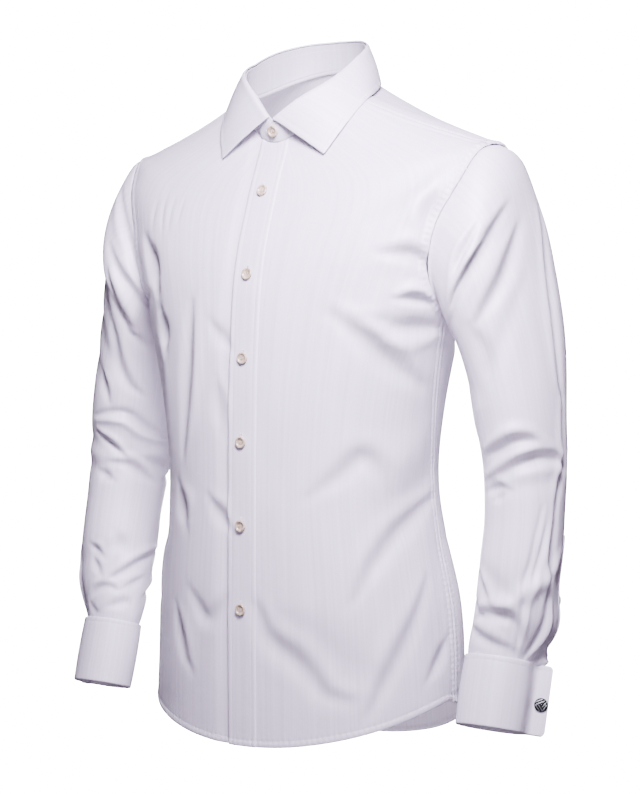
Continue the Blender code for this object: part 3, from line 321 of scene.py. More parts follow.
RIGHT_SLEEVE_FOLDS = {
    "cap_crease_1": (((140, 0.13), (52, 0.3)), 10, -2, 0),
    "cap_crease_2": (((150, 0.25), (40, 0.42)), 10, -2, 0),
    "cap_crease_3": (((152, 0.36), (55, 0.5)), 11, -1.5, 0),
    "elbow_fold_upper": (((30, 0.615), (170, 0.575)), 10, -1.5, 0),
    "elbow_crest": (((35, 0.64), (172, 0.6)), 9, 1, 0),
    "elbow_fold_lower": (((30, 0.675), (150, 0.64)), 10, -1.5, 0),
    "forearm_fold": (((25, 0.845), (130, 0.895)), 10, -1.5, 0),
    "back_elbow_fold": (((200, 0.62), (320, 0.64)), 10, -3, 0),
    "head_line": (((139, 0.04), (102, 0.03), (74, 0.02), (49, 0.02)), 5.5, -4.5, 2.5),
    "head_main": (((100, 0.06), (74, 0.05), (50, 0.04), (10, 0.035)), 5.5, -4.5, -4),
    "upper_line": (((85, 0.08), (66, 0.105), (51, 0.16), (44, 0.195)), 6.5, -5.5, -3),
    "upper_soft": (((45, 0.2), (31, 0.205), (16, 0.245)), 6.5, -3, 0),
    "upper_line_2": (((76, 0.25), (60, 0.36), (43, 0.415), (27, 0.435)), 6.5, -5, -2),
    "upper_line_3": (((92, 0.425), (73, 0.48)), 5.5, -4.5, -1.5),
    "elbow_upper": (((-28, 0.565), (9, 0.54), (38, 0.505), (63, 0.51), (94, 0.53)), 6, -5, -4),
    "elbow_sharp": (((42, 0.625), (64, 0.595), (91, 0.57)), 4.5, -4, 3),
    "elbow_lower": (((-7, 0.685), (6, 0.675), (32, 0.65), (56, 0.645)), 6.5, -5, 2),
    "elbow_inner": (((-45, 0.65), (-7, 0.64), (15, 0.63)), 6.5, -4.5, 1.5),
    "elbow_outer": (((55, 0.69), (79, 0.67)), 5.5, -3.5, 1),
    "fore_soft": (((16, 0.865), (38, 0.825)), 9, -2.5, 0),
    "fore_short_1": (((55, 0.875), (78, 0.85)), 4.5, -4, 1.5),
    "fore_short_2": (((56, 0.915), (71, 0.88)), 4.5, -3.5, 1),
    "fore_slant": (((-58, 0.845), (-21, 0.87), (15, 0.905), (39, 0.925)), 5.5, -4.5, 3.5),
    "low_crescent": (((27, 0.945), (42, 0.94), (60, 0.945), (80, 0.96)), 4.5, -4, 2),
    "low_slant": (((-20, 0.915), (-2, 0.93), (13, 0.94)), 4.5, -3, 1),
    "low_edge": (((58, 0.99), (72, 0.99), (81, 0.975)), 4, -3.5, 0),
    "low_soft": (((-6, 0.975), (7, 0.965), (46, 0.98)), 5.5, -3, 1),
    "pleat_deep": (((150, 0.78), (142, 0.88), (130, 1)), 4.5, -4, 3.5),
    "pleat_front": (((112, 0.85), (107, 0.93), (106, 1)), 3.5, -3, 2),
    "outside_fall": (((190, 0.18), (180, 0.36), (174, 0.54)), 6.5, -3.5, -2),
    "back_cap_1": (((215, 0.11), (252, 0.18), (292, 0.22)), 9, -5, 2),
    "back_cap_2": (((222, 0.25), (250, 0.31), (286, 0.34)), 9, -4, 2),
    "back_elbow_1": (((202, 0.585), (250, 0.57), (305, 0.59)), 7, -5, 3),
    "back_elbow_2": (((212, 0.655), (268, 0.65), (326, 0.675)), 7, -5, 3),
    "back_fore_1": (((298, 0.765), (282, 0.835), (258, 0.9)), 6.5, -4, 2),
    "back_pleat": (((248, 0.86), (244, 0.93), (248, 1)), 4, -3.5, 2),
    "back_crescent": (((252, 0.94), (288, 0.93), (326, 0.95)), 6, -4, 2),
}
SIDES = {"left": 1.0, "right": -1.0}
SLEEVE_FOLDS = {"left": LEFT_SLEEVE_FOLDS, "right": RIGHT_SLEEVE_FOLDS}

# Small unevenness of the cloth: cells round and along, and height
BODY_UNEVEN = ((26, 0.060, 0.00050), (60, 0.028, 0.00016))
SLEEVE_UNEVEN = ((9, 0.085, 0.00060), (22, 0.036, 0.00026))

# Seams: width and height of the raised allowance, stitch rows from the seam, and pucker height
SEAM_COLUMNS = ("allowance", "height", "groove", "pucker")
SEAMS = {
    "armhole": (0.0095, 0.00080, 0.0088, 0.00012),
    "side": (0.0062, 0.00050, 0.0060, 0.00005),
    "yoke_front": (0.0070, 0.00045, 0.0064, 0.00010),
    "yoke_back": (0.0070, 0.00045, 0.0064, 0.00010),
    "hem": (0.0066, 0.00060, 0.0060, 0.00016),
}
SEAM_PUCKER = {"armhole": 0.4, "side": 0.25, "yoke_front": 0.2, "yoke_back": 0.2, "hem": 0.35}
SEAM_REACH = 0.024
SAMPLE_REACH = 0.004
NEAREST_BATCH = 3000
SEAM_EDGE_DROP = 0.00045
SEAM_EDGE_WIDTH = 0.0011
GROOVE_DEPTH = 0.00050
GROOVE_WIDTH = 0.0011
PUCKER_PITCH = 0.0062
PUCKER_WIDTH = 0.0055

# Cells: distances of the first columns or rows from a panel's edge, and how many there are
EDGE_STEPS = np.array([0.0, 0.0005, 0.0011, 0.0018, 0.0028, 0.0040, 0.0052, 0.0062, 0.0072, 0.0082,
                       0.0090, 0.0100, 0.0114, 0.0134])
SIDE_METRES_PER_DEGREE = 0.0021
EDGE_ROWS_END = 0.016
BODY_ROWS = 170
ARMHOLE_ROWS = 58
TOP_ROWS = 34
SLEEVE_AROUND = 116
SLEEVE_LONG = 226
UP = np.array([0.0, 0.0, 1.0])

# Stitches
STITCH_PITCH = 0.0026
STITCH_LENGTH = 0.0018
STITCH_SINK = 0.00004
STITCH_RADIUS = 0.00021
SIDE_STITCHES = (0.0016, 0.0060)
YOKE_FRONT_STITCHES = (0.0016, 0.0064)
YOKE_BACK_STITCHES = (0.0018, 0.0064)
ARMHOLE_STITCHES = 0.0088
HEM_STITCHES = 0.0060
SLEEVE_SEAM_STITCH_TURNS = (1.4, 4.0)
SLIT_STITCH_INSET_TURN = 2.6

# Camera and light
CAMERA_TURN = 33.0
CAMERA_RISE = 2.3
CAMERA_DISTANCE = 2.4
VIEW_CENTRE_Z = -0.322
VIEW_RIGHT = 0.0162
METRES_PER_PIXEL = 0.00108
IMAGE_HEIGHT = 794
SENSOR = 36.0
FLOOR_Z = -1.05
STUDIO_GLOW = 26.0
LAMP_COLUMNS = ("place", "target", "size", "spread", "power", "colour")
LAMPS = {
    "key": ((0.46, -0.64, 0.38), (0.0, 0.0, -0.24), 0.4, 120.0, 27.0, (1.0, 0.89, 1.13)),
    "front": ((1.31, -2.0, -0.8), (0.0, 0.0, -0.5), 0.8, 180.0, 14.0, (1.0, 0.86, 1.14)),
    "behind": ((-1.36, 2.1, -0.4), (0.0, 0.0, -0.3), 1.0, 180.0, 140.0, (1.0, 0.92, 1.10)),
    "neck": ((0.0, 0.01, -0.13), (-0.02, 0.02, 0.05), 0.08, 180.0, 0.20, (1.0, 0.90, 1.10)),
    "tail": ((0.02, -0.04, -0.60), (0.06, 0.12, -0.70), 0.08, 180.0, 0.25, (1.0, 0.90, 1.10)),
}


def spline(knots, rows, at):
    """Smooth curve through the rows, each at its knot, read at one or many places."""
    knots = np.asarray(knots, float)
    rows = np.asarray(rows, float)
    at = np.clip(np.asarray(at, float), knots[0], knots[-1])
    steps = np.diff(knots)[:, None]
    secants = np.diff(rows, axis=0) / steps
    slopes = np.vstack([secants[:1], np.zeros((len(rows) - 2, rows.shape[1])), secants[-1:]])
    slopes[1:-1] = (steps[1:] * secants[:-1] + steps[:-1] * secants[1:]) / (steps[1:] + steps[:-1])
    i = np.clip(np.searchsorted(knots, at, side="right") - 1, 0, len(knots) - 2)
    width = (knots[i + 1] - knots[i])[..., None]
    f = (at - knots[i])[..., None] / width
    return ((2 * f**3 - 3 * f**2 + 1) * rows[i] + (f**3 - 2 * f**2 + f) * width * slopes[i]
            + (3 * f**2 - 2 * f**3) * rows[i + 1] + (f**3 - f**2) * width * slopes[i + 1])


def read_table(columns, rows, at):
    """Columns of a table by name, read smoothly at places along its first column."""
    rows = np.array(list(rows.values()), float)
    return dict(zip(columns[1:], np.moveaxis(spline(rows[:, 0], rows[:, 1:], at), -1, 0)))


def unit(vectors):
    return vectors / np.linalg.norm(vectors, axis=-1, keepdims=True)


def run_along(line):
    """Length of a line of points up to each of them."""
    return np.concatenate([[0.0], np.cumsum(np.linalg.norm(np.diff(line, axis=0), axis=1))])


def closest_on(curve, places):
    """Number of the curve's point closest to each place, and the way from it to the place."""
    closest = ((places[:, None] - curve[None]) ** 2).sum(axis=-1).argmin(axis=1)
    return closest, places - curve[closest]


def mirrored(points, side):
    """Points of the left side moved to the wearer's side."""
    return points * np.array([SIDES[side], 1.0, 1.0])


def alike(angle, level):
    """Angles and levels as arrays of the same shape."""
    return np.broadcast_arrays(np.asarray(angle, float), np.asarray(level, float))


def ease(share):
    """Smooth step from 0 to 1."""
    share = np.clip(share, 0.0, 1.0)
    return share * share * (3.0 - 2.0 * share)


def outward_at(angle):
    """Level direction away from the neck's middle at an angle from the centre front."""
    radial = np.radians(angle)
    return np.stack([np.sin(radial), -np.cos(radial), np.zeros_like(radial)], axis=-1)


def body_point(angle, level):
    """The shirt body's smooth form at an angle from the centre front and a level."""
    angle = np.radians(angle)
    ring = read_table(RING_COLUMNS, BODY_RINGS, level)
    sine, cosine = np.sin(angle), np.cos(angle)
    power = ring["squareness"]
    swell = (np.abs(sine) ** power + np.abs(cosine) ** power) ** (-1.0 / power)
    ahead = cosine > 0
    x = ring["half_width"] * sine * swell
    reach = np.where(ahead, ring["front_y"] - ring["side_y"], ring["side_y"] - ring["back_y"])
    y = ring["side_y"] + reach * cosine * swell
    lean = np.abs(cosine) ** np.where(ahead, ring["front_sweep"], BACK_SWEEP)
    z = ring["side_z"] + (np.where(ahead, ring["front_z"], ring["back_z"]) - ring["side_z"]) * lean
    return np.stack([x, y, z], axis=-1)


def body_normal(angle, level):
    """Outward direction of the body's smooth form."""
    low, high = np.maximum(level - 0.004, HEM), np.minimum(level + 0.004, NECK)
    across = body_point(angle + 1.0, level) - body_point(angle - 1.0, level)
    return unit(np.cross(across, body_point(angle, high) - body_point(angle, low)))


def fold_curves(folds, at):
    """Each fold's samples on the smooth form, with their directions and runs, and its measures."""
    curves = []
    for path, *measures in folds.values():
        path = np.array(path, float)
        samples = spline(np.arange(len(path)), path, np.linspace(0.0, len(path) - 1.0, FOLD_SAMPLES))
        curve = at(samples[:, 0], samples[:, 1])
        tangents = unit(np.gradient(curve, axis=0))
        curves.append((curve, tangents, run_along(curve), *np.array(measures) / 1000.0))
    return curves


def fold_relief(curves, places, normals):
    """Height of the folds at each place of the smooth form."""
    flat, facing = places.reshape(-1, 3), normals.reshape(-1, 3)
    relief = np.zeros(len(flat))
    for curve, tangents, run, half_width, depth, ridge in curves:
        reach = half_width * FOLD_REACH
        inside = (flat > curve.min(axis=0) - reach) & (flat < curve.max(axis=0) + reach)
        near = np.flatnonzero(inside.all(axis=1))
        if not len(near):
            continue
        closest, away = closest_on(curve, flat[near])
        ahead = tangents[closest]
        place = run[closest] + (away * ahead).sum(axis=-1)
        beyond = np.maximum(np.maximum(-place, place - run[-1]), 0.0)
        offset = (away * unit(np.cross(facing[near], ahead))).sum(axis=-1)
        rise = (away * facing[near]).sum(axis=-1)
        swell = np.sin(np.pi * np.clip(place / run[-1], 0.0, 1.0))
        width = half_width * (FOLD_TAPER_SHARE + (1.0 - FOLD_TAPER_SHARE) * swell)
        fade = np.exp(-(beyond / half_width) ** 2) * (FOLD_END_SHARE + (1.0 - FOLD_END_SHARE) * swell)
        fade = fade * np.exp(-(rise / (FOLD_SAME_SIDE * half_width)) ** 4)
        shape = depth * np.exp(-(offset / width) ** 2)
        shape += abs(ridge) * np.exp(-(offset / width - math.copysign(RIDGE_PLACE, ridge)) ** 2)
        relief[near] += fade * shape
    return relief.reshape(places.shape[:-1])


def painted_fold_shade_marks(curves, places, normals):
    """Painted shade in the folds: how deep each place lies in a fold, from 0 on the smooth form to 1 at
    FOLD_FULL_DEPTH, for darkening the cloth's colour there.
    """
    return {"painted_shade": np.clip(-fold_relief(curves, places, normals) / FOLD_FULL_DEPTH, 0.0, 1.0)}


def unevenness(across, along, layers, seed):
    """Soft random height, the same each run, that closes on itself round the piece."""
    height = np.zeros(across.shape)
    for number, (around, cell, amount) in enumerate(layers):
        lattice = np.random.default_rng(seed + number).uniform(-1.0, 1.0, (around, 64))
        u, v = (across % 360.0) / 360.0 * around, along / cell
        i, j = np.floor(u).astype(int), np.floor(v).astype(int)
        f, g = ease(u - i), ease(v - j)
        rows, columns = (i % around, (i + 1) % around), (j % 64, (j + 1) % 64)
        low = lattice[rows[0], columns[0]] * (1 - f) + lattice[rows[1], columns[0]] * f
        high = lattice[rows[0], columns[1]] * (1 - f) + lattice[rows[1], columns[1]] * f
        height = height + amount * (low * (1 - g) + high * g)
    return height


def side_seam_angle(level):
    return np.interp(level, SIDE_SEAM["level"], SIDE_SEAM["angle"])


def armhole_place(turn, margin=0.0):
    """Angle and level on the armhole: turn 0 under the arm, 90 front, 180 top, 270 back."""
    turn = np.radians(turn)
    rise = (1.0 - np.cos(turn)) / 2.0
    base = SIDE_SEAM["angle"][-1] + (ARMHOLE_TOP - SIDE_SEAM["angle"][-1]) * rise
    reach = np.where(np.sin(turn) > 0, -ARMHOLE_FRONT_REACH, ARMHOLE_BACK_REACH)
    spread = np.degrees(margin / CHEST_HALF_WIDTH)
    angle = base + (reach + np.sign(reach) * spread) * np.abs(np.sin(turn))
    level = CHEST - margin + (SHOULDER - CHEST + 2.0 * margin) * rise
    return angle, level


def yoke_seam_angle(level):
    return np.interp(level, (SHOULDER, NECK), (ARMHOLE_TOP, YOKE_NECK_ANGLE))


def back_arch(share):
    """Rise of the back's seams from 0 at both sides to 1 in the middle, by the share across."""
    return 1.0 - np.abs(2.0 * share - 1.0) ** YOKE_BACK_ROUNDNESS


def yoke_back_place(share):
    """Angle and level of the yoke's back seam, from the left armhole round to the right one."""
    side, start = (float(value) for value in armhole_place(YOKE_BACK_TURN, ARMHOLE_GAP))
    return side + (360.0 - 2.0 * side) * share, start + YOKE_BACK_LIFT * back_arch(share)


def seam_curves():
    """Each seam's points on the smooth form, by the seam's kind."""
    turn = np.linspace(0.0, 360.0, 300)
    low = np.linspace(HEM, CHEST, 260)
    high = np.linspace(SHOULDER, NECK, 90)
    share = np.linspace(0.0, 1.0, 260)
    curves = [("hem", body_point(np.linspace(-180.0, 180.0, 500), np.full(500, HEM))),
              ("yoke_back", body_point(*yoke_back_place(share)))]
    for sign in (1.0, -1.0):
        angle, level = armhole_place(turn)
        curves.append(("armhole", body_point(angle * sign, level)))
        curves.append(("side", body_point(side_seam_angle(low) * sign, low)))
        curves.append(("yoke_front", body_point(yoke_seam_angle(high) * sign, high)))
    return curves


SEAM_CURVES = seam_curves()
BODY_CURVES = fold_curves(BODY_FOLDS, body_point)


def nearest(points, curve, reach):
    """Distance to a curve and the run along it; places past the reach get the reach."""
    flat = points.reshape(-1, 3)
    distance, run = np.full(len(flat), reach), np.zeros(len(flat))
    tangent, steps = unit(np.gradient(curve, axis=0)), run_along(curve)
    low, high = curve.min(axis=0) - reach, curve.max(axis=0) + reach
    near = np.flatnonzero(((flat > low) & (flat < high)).all(axis=1))
    for some in np.array_split(near, len(near) // NEAREST_BATCH + 1):
        closest, away = closest_on(curve, flat[some])
        ahead = np.clip((away * tangent[closest]).sum(axis=-1), -SAMPLE_REACH, SAMPLE_REACH)
        gap = np.linalg.norm(away - tangent[closest] * ahead[:, None], axis=-1)
        distance[some] = np.minimum(gap, reach)
        run[some] = steps[closest] + ahead
    return distance.reshape(points.shape[:-1]), run.reshape(points.shape[:-1])


def seam_relief(distance, run, kind):
    """Raised allowance, stitched groove, dropped edge and pucker along a seam."""
    seam = dict(zip(SEAM_COLUMNS, SEAMS[kind]))
    raised = seam["height"] * ease((seam["allowance"] - distance) / 0.0012 + 0.5)
    groove = GROOVE_DEPTH * np.exp(-((distance - seam["groove"]) / GROOVE_WIDTH) ** 2)
    edge = SEAM_EDGE_DROP * np.exp(-(distance / SEAM_EDGE_WIDTH) ** 2)
    phase = 2.0 * np.pi * run / PUCKER_PITCH
    wave = np.sin(phase) + 0.5 * np.sin(phase / 2.7 + 1.0)
    pucker = seam["pucker"] * wave * np.exp(-((distance - seam["groove"] / 2.0) / PUCKER_WIDTH) ** 2)
    return raised - groove - edge + pucker


def body_cloth(angle, level, lift=0.0):
    """The body's outer cloth with its folds and seams, moved out by lift."""
    angle, level = alike(angle, level)
    place, normal = body_point(angle, level), body_normal(angle, level)
    fade = np.clip((NECK - level) / NECK_FOLD_FADE, 0.0, 1.0)
    height = fold_relief(BODY_CURVES, place, normal) + unevenness(angle, level, BODY_UNEVEN, 11)
    height = height * fade + lift
    for kind, curve in SEAM_CURVES:
        distance, run = nearest(place, curve, SEAM_REACH)
        height = height + np.where(distance < SEAM_REACH, seam_relief(distance, run, kind), 0.0)
    return place + normal * height[..., None]


def body_marks(angle, level):
    """How near each place is to a sewn seam, how far along that seam it is, and how deep in a fold, for the
    painted shade in the folds.
    """
    angle, level = alike(angle, level)
    place = body_point(angle, level)
    near, along = np.zeros(angle.shape), np.zeros(angle.shape)
    for kind, curve in SEAM_CURVES:
        distance, run = nearest(place, curve, SEAM_REACH)
        share = SEAM_PUCKER[kind] * np.exp(-((distance - 0.005) / 0.004) ** 2)
        along = np.where(share > near, run, along)
        near = np.maximum(near, share)
    folds = painted_fold_shade_marks(BODY_CURVES, place, body_normal(angle, level))
    return {"seam_near": near, "seam_run": along, **folds}


def collar_at(angle):
    """Collar columns after the angle, at any angle, the same on both sides."""
    turned_by = np.abs((np.asarray(angle, float) + 180.0) % 360.0 - 180.0)
    return read_table(COLLAR_COLUMNS, COLLAR_STATIONS, turned_by)


def fold_point(angle):
    """Top of the collar's fold line, in front a little lower on the wearer's left than on the right."""
    collar = collar_at(angle)
    radial = np.radians(angle)
    height = collar["fold_z"] - FOLD_LEAN * np.sin(2.0 * radial) * (np.cos(radial) > 0.0)
    return outward_at(angle) * collar["fold_radius"][:, None] + UP * height[:, None]


def cuff_axes():
    """Unit directions of the cuff's oval: long and short, square to the arm."""
    long_way = (CUFF_LONG - CUFF_LONG.dot(CUFF_AXIS) * CUFF_AXIS).normalized()
    return np.array(long_way), np.array(CUFF_AXIS.cross(long_way))


def sleeve_rings():
    """Share of the length, outer point, under point and front reach of each ring below the armhole."""
    rings = []
    for row in SLEEVE_RINGS.values():
        ring = dict(zip(SLEEVE_COLUMNS, row))
        front = outward_at(ring["turned"]) * ring["half_depth"]
        out = np.array([ring["out_x"], ring["out_y"], ring["out_z"]])
        under = np.array([ring["under_x"], ring["under_y"], ring["under_z"]])
        rings.append((ring["along"], out, under, front))
    long_way, short_way = cuff_axes()
    axis = np.array(CUFF_AXIS)
    for along, down, inward in ((1.0, -WRIST_GAP, 0.0), (1.016, WRIST_TUCK, WRIST_TUCK_IN)):
        start = np.array(CUFF_TOP) + axis * down
        out, under = start + long_way * (CUFF_OVAL_OUT - inward), start - long_way * (CUFF_OVAL_IN - inward)
        rings.append((along, out, under, short_way * (CUFF_HALF_SHORT - inward)))
    return rings


def sleeve_point(turn, along):
    """Left sleeve's smooth form: turn 0 under the arm, 90 front, 180 outside, 270 back."""
    turn = np.asarray(turn, float)
    radial = np.radians(turn)[:, None]
    turn = turn % 360.0
    loops = [body_point(*armhole_place(turn)), body_point(*armhole_place(turn, -CAP_LEAD))]
    knots = [0.0, CAP_LEAD_SHARE]
    rings = sleeve_rings()
    for number, (knot, out, under, front) in enumerate(rings):
        middle = (out + under) / 2.0
        if number < len(rings) - 2:
            above, below = rings[max(number - 1, 0)], rings[number + 1]
            arm = unit(below[1] + below[2] - above[1] - above[2])
            front = front - front.dot(arm) * arm
        loops.append(middle + np.cos(radial) * (under - middle) + np.sin(radial) * front)
        knots.append(knot)
    stack = np.array(loops)
    values = spline(knots, stack.reshape(len(knots), -1), along)
    return values.reshape(np.shape(along) + stack.shape[1:])


def sleeve_places(turn, along):
    """Points of the left sleeve's smooth form at pairs of turn and share."""
    grid = sleeve_point(turn, along)
    return grid[np.arange(len(turn)), np.arange(len(turn))]


SLEEVE_CURVES = {side: fold_curves(folds, sleeve_places) for side, folds in SLEEVE_FOLDS.items()}


def sleeve_form(turns, along):
    """Points and outward directions of the left sleeve's smooth form."""
    ahead = sleeve_point(turns + 2.0, along) - sleeve_point(turns - 2.0, along)
    down = sleeve_point(turns, along + 0.01) - sleeve_point(turns, np.maximum(along - 0.01, 0.0))
    return sleeve_point(turns, along), unit(np.cross(down, ahead))


def sleeve_grid(turns, along, side, lift=0.0):
    """Grid of a sleeve's outer cloth, rows along it and columns round it, on the wearer's side."""
    turns, along = np.asarray(turns, float), np.asarray(along, float)
    points, normal = sleeve_form(turns, along)
    across, run = np.broadcast_arrays(turns[None, :], along[:, None])
    relief = fold_relief(SLEEVE_CURVES[side], points, normal)
    relief = relief + unevenness(across, run * SLEEVE_LENGTH, SLEEVE_UNEVEN, 31 if side == "left" else 47)
    top_fade, wrist_fade = SLEEVE_FOLD_FADE
    ends = ease(run / top_fade) * (0.35 + 0.65 * ease((1.0 - run) / wrist_fade))
    ends = ends * ease((1.012 - run) / 0.012)
    top = 0.3 + 0.7 * np.clip(-np.cos(np.radians(across)), 0.0, 1.0)
    cap = CAP_SWELL * top * np.exp(-((run - 0.034) / 0.030) ** 2) * ease(run / 0.010)
    easing = 0.00030 * np.sin(2.0 * np.pi * across / 4.6) * np.exp(-((run - 0.012) / 0.012) ** 2)
    edge = -0.0005 * np.exp(-(run * SLEEVE_LENGTH / 0.0016) ** 2)
    height = relief * ends + cap + easing * (np.cos(np.radians(across)) < 0.5) + edge + lift
    return mirrored(points + normal * height[..., None], side)


def mesh_from(bm, name):
    """Mesh of what was built, which is then let go."""
    mesh = bpy.data.meshes.new(name)
    bm.to_mesh(mesh)
    bm.free()
    return mesh


def vertex_places(mesh):
    places = np.empty(len(mesh.vertices) * 3)
    mesh.vertices.foreach_get("co", places)
    return places.reshape(-1, 3)


def cloth_object(name, points, thickness, uv=None, flip=False, closed=False, side=-1.0, marks=None):
    """Cloth wall through a grid of points, rows by columns, with cloth measures as its UV map."""
    rows, columns = points.shape[:2]
    bm = bmesh.new()
    bmesh.ops.create_grid(bm, x_segments=columns - 1, y_segments=rows - 1, size=0.5)
    mesh = mesh_from(bm, name)
    start = vertex_places(mesh)
    order = np.lexsort((np.round(start[:, 0], 6), np.round(start[:, 1], 6)))
    if uv is None:
        steps = np.linalg.norm(np.diff(points, axis=0), axis=-1).mean(axis=1)
        rungs = np.linalg.norm(np.diff(points, axis=1), axis=-1).max(axis=0)
        out, up = (np.concatenate([[0.0], np.cumsum(lengths)]) for lengths in (rungs, steps))
        uv = np.stack(np.meshgrid(out, up), axis=-1)
    if flip:
        points, uv = points[:, ::-1], uv[:, ::-1]
    places, cloth = np.empty_like(start), np.empty((len(start), 2))
    places[order] = points.reshape(-1, 3)
    cloth[order] = uv.reshape(-1, 2)
    mesh.vertices.foreach_set("co", places.ravel())
    for mark, values in (marks or {}).items():
        ordered = np.empty(len(start), np.float32)
        ordered[order] = (values[:, ::-1] if flip else values).ravel()
        mesh.attributes.new(mark, "FLOAT", "POINT").data.foreach_set("value", ordered)
    corners = np.empty(len(mesh.loops), dtype=np.int32)
    mesh.loops.foreach_get("vertex_index", corners)
    layer = mesh.uv_layers.new(name="Cloth")
    layer.data.foreach_set("uv", cloth[corners].astype(np.float32).ravel())
    if closed:
        bm = bmesh.new()
        bm.from_mesh(mesh)
        bmesh.ops.remove_doubles(bm, verts=bm.verts, dist=1e-6)
        bm.to_mesh(mesh)
        bm.free()
    mesh.shade_smooth()
    piece = link(name, mesh)
    wall = piece.modifiers.new("Wall", "SOLIDIFY")
    wall.thickness = thickness
    wall.offset = side
    return piece


def link(name, mesh):
    piece = bpy.data.objects.new(name, mesh)
    bpy.context.scene.collection.objects.link(piece)
    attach(piece, "root")
    return piece


def finish_cloth(piece, cloth, node):
    """Gives a cloth piece its finish and hides the solid it stands for."""
    piece.data.materials.append(COTTONS[cloth])
    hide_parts(node)


# Materials

def new_material(name):
    material = bpy.data.materials.new(name)
    material.use_nodes = True
    tree = material.node_tree
    return material, tree, tree.nodes["Principled BSDF"]


def set_inputs(node, inputs):
    """Links each named input to a socket, or sets it to a value."""
    for name, value in inputs.items():
        if isinstance(value, bpy.types.NodeSocket):
            node.id_data.links.new(value, node.inputs[name])
        else:
            node.inputs[name].default_value = value


def add_node(tree, kind, result, inputs, **settings):
    """Result socket of a new node of a kind with its settings and inputs."""
    node = tree.nodes.new("ShaderNode" + kind)
    for name, setting in settings.items():
        setattr(node, name, setting)
    set_inputs(node, inputs)
    return node.outputs[result]


def object_places(tree):
    return add_node(tree, "TexCoord", "Object", {})


def mesh_mark(tree, name):
    """Value of a mesh's attribute."""
    return add_node(tree, "Attribute", "Fac", {}, attribute_name=name)


def noise(tree, places, scale, detail, roughness=0.5, distortion=0.0):
    """Soft random value from 0 to 1."""
    return add_node(tree, "TexNoise", "Fac", {"Vector": places, "Scale": scale, "Detail": detail,
                                              "Roughness": roughness, "Distortion": distortion})


def combined(tree, operation, *values):
    """Value worked out from one or two others."""
    return add_node(tree, "Math", "Value", dict(enumerate(values)), operation=operation)


def ranged(tree, value, low, high):
    """Value from 0 to 1 spread from low to high."""
    return add_node(tree, "MapRange", "Result", {"Value": value, "To Min": low, "To Max": high})


def shaded(tree, value, dark, light, ends=(0.0, 1.0)):
    """Colour from dark to light between two ends of a value."""
    colour = add_node(tree, "ValToRGB", "Color", {"Fac": value})
    for element, end, tone in zip(colour.node.color_ramp.elements, ends, (dark, light)):
        element.position = end
        element.color = (*tone, 1.0)
    return colour


def bumped(tree, height, strength, distance, normal=None):
    """Normal bent by a height, on top of another normal."""
    inputs = {"Height": height, "Strength": strength, "Distance": distance}
    return add_node(tree, "Bump", "Normal", {**inputs, "Normal": normal} if normal else inputs)


def cotton(name, shade):
    """White sateen cotton: fine weave, long vertical streaks, puckered seams, a soft gloss, and painted shade
    that darkens its colour deep in folds and on the collar stand's inside.
    """
    material, tree, shader = new_material(name)
    cloth = add_node(tree, "UVMap", "UV", {}, uv_map="Cloth")
    waves = {"Vector": cloth, "Scale": 420.0, "Distortion": 1.2, "Detail": 1.0}
    yarns = [add_node(tree, "TexWave", "Fac", waves, bands_direction=way) for way in ("X", "Y")]
    weave = combined(tree, "ADD", *yarns)
    stretch = add_node(tree, "Mapping", "Vector", {"Vector": cloth, "Scale": (260.0, 3.2, 1.0)})
    slub = noise(tree, stretch, 1.0, 3.0, 0.6)
    cloud = noise(tree, object_places(tree), 34.0, 4.0, 0.55)
    streaks = shaded(tree, slub, [value * 0.89 for value in shade], shade, (0.36, 0.64))
    # Painted shade: the colour is darkened where the mesh marks a place deep in a fold or on the collar
    # stand's inside.
    painted_shade_scale = ranged(tree, mesh_mark(tree, "painted_shade"), 1.0, 1.0 - PAINTED_FOLD_SHADE)
    painted_shade_colour = add_node(tree, "VectorMath", "Vector", {0: streaks, "Scale": painted_shade_scale}, operation="SCALE")
    phase = combined(tree, "MULTIPLY", mesh_mark(tree, "seam_run"), 2.0 * math.pi / PUCKER_PITCH)
    pucker = combined(tree, "MULTIPLY", combined(tree, "SINE", phase), mesh_mark(tree, "seam_near"))
    normal = None
    for height, strength, distance in ((weave, 0.30, 0.00010), (slub, 0.7, 0.0004),
                                       (cloud, 0.30, 0.0016), (pucker, 1.0, 0.0004)):
        normal = bumped(tree, height, strength, distance, normal)
    set_inputs(shader, {"Base Color": painted_shade_colour, "Roughness": ranged(tree, cloud, 0.40, 0.56),
                        "Specular IOR Level": 0.9, "Normal": normal})
    return material


def thread_finish(name, shade):
    """Glossy sewing thread with a fine twist."""
    material, tree, shader = new_material(name)
    waves = {"Vector": object_places(tree), "Scale": 900.0, "Distortion": 0.5}
    twist = add_node(tree, "TexWave", "Fac", waves, bands_direction="DIAGONAL")
    colour = shaded(tree, twist, [value * 0.90 for value in shade], shade)
    set_inputs(shader, {"Base Color": colour, "Roughness": 0.45, "Normal": bumped(tree, twist, 0.4, 0.00006)})
    return material


def pearl_finish(name):
    """Ivory pearl with soft clouds and a polished coat."""
    material, tree, shader = new_material(name)
    cloud = noise(tree, object_places(tree), 260.0, 4.0, 0.6, 1.4)
    colour = shaded(tree, cloud, (0.20, 0.145, 0.09), (0.56, 0.455, 0.32), (0.30, 0.62))
    set_inputs(shader, {"Base Color": colour, "Roughness": ranged(tree, cloud, 0.16, 0.34),
                        "Coat Weight": 0.5, "Coat Roughness": 0.12})
    return material


def metal_finish(name):
    """Dark metal, brighter on its raised bands than in the grooves."""
    material, tree, shader = new_material(name)
    scuffs = noise(tree, object_places(tree), 900.0, 3.0)
    colour = shaded(tree, mesh_mark(tree, "raised"), (0.004, 0.005, 0.004), (0.40, 0.43, 0.40), (0.72, 1.0))
    set_inputs(shader, {"Base Color": colour, "Roughness": ranged(tree, scuffs, 0.34, 0.50), "Metallic": 1.0})
    return material


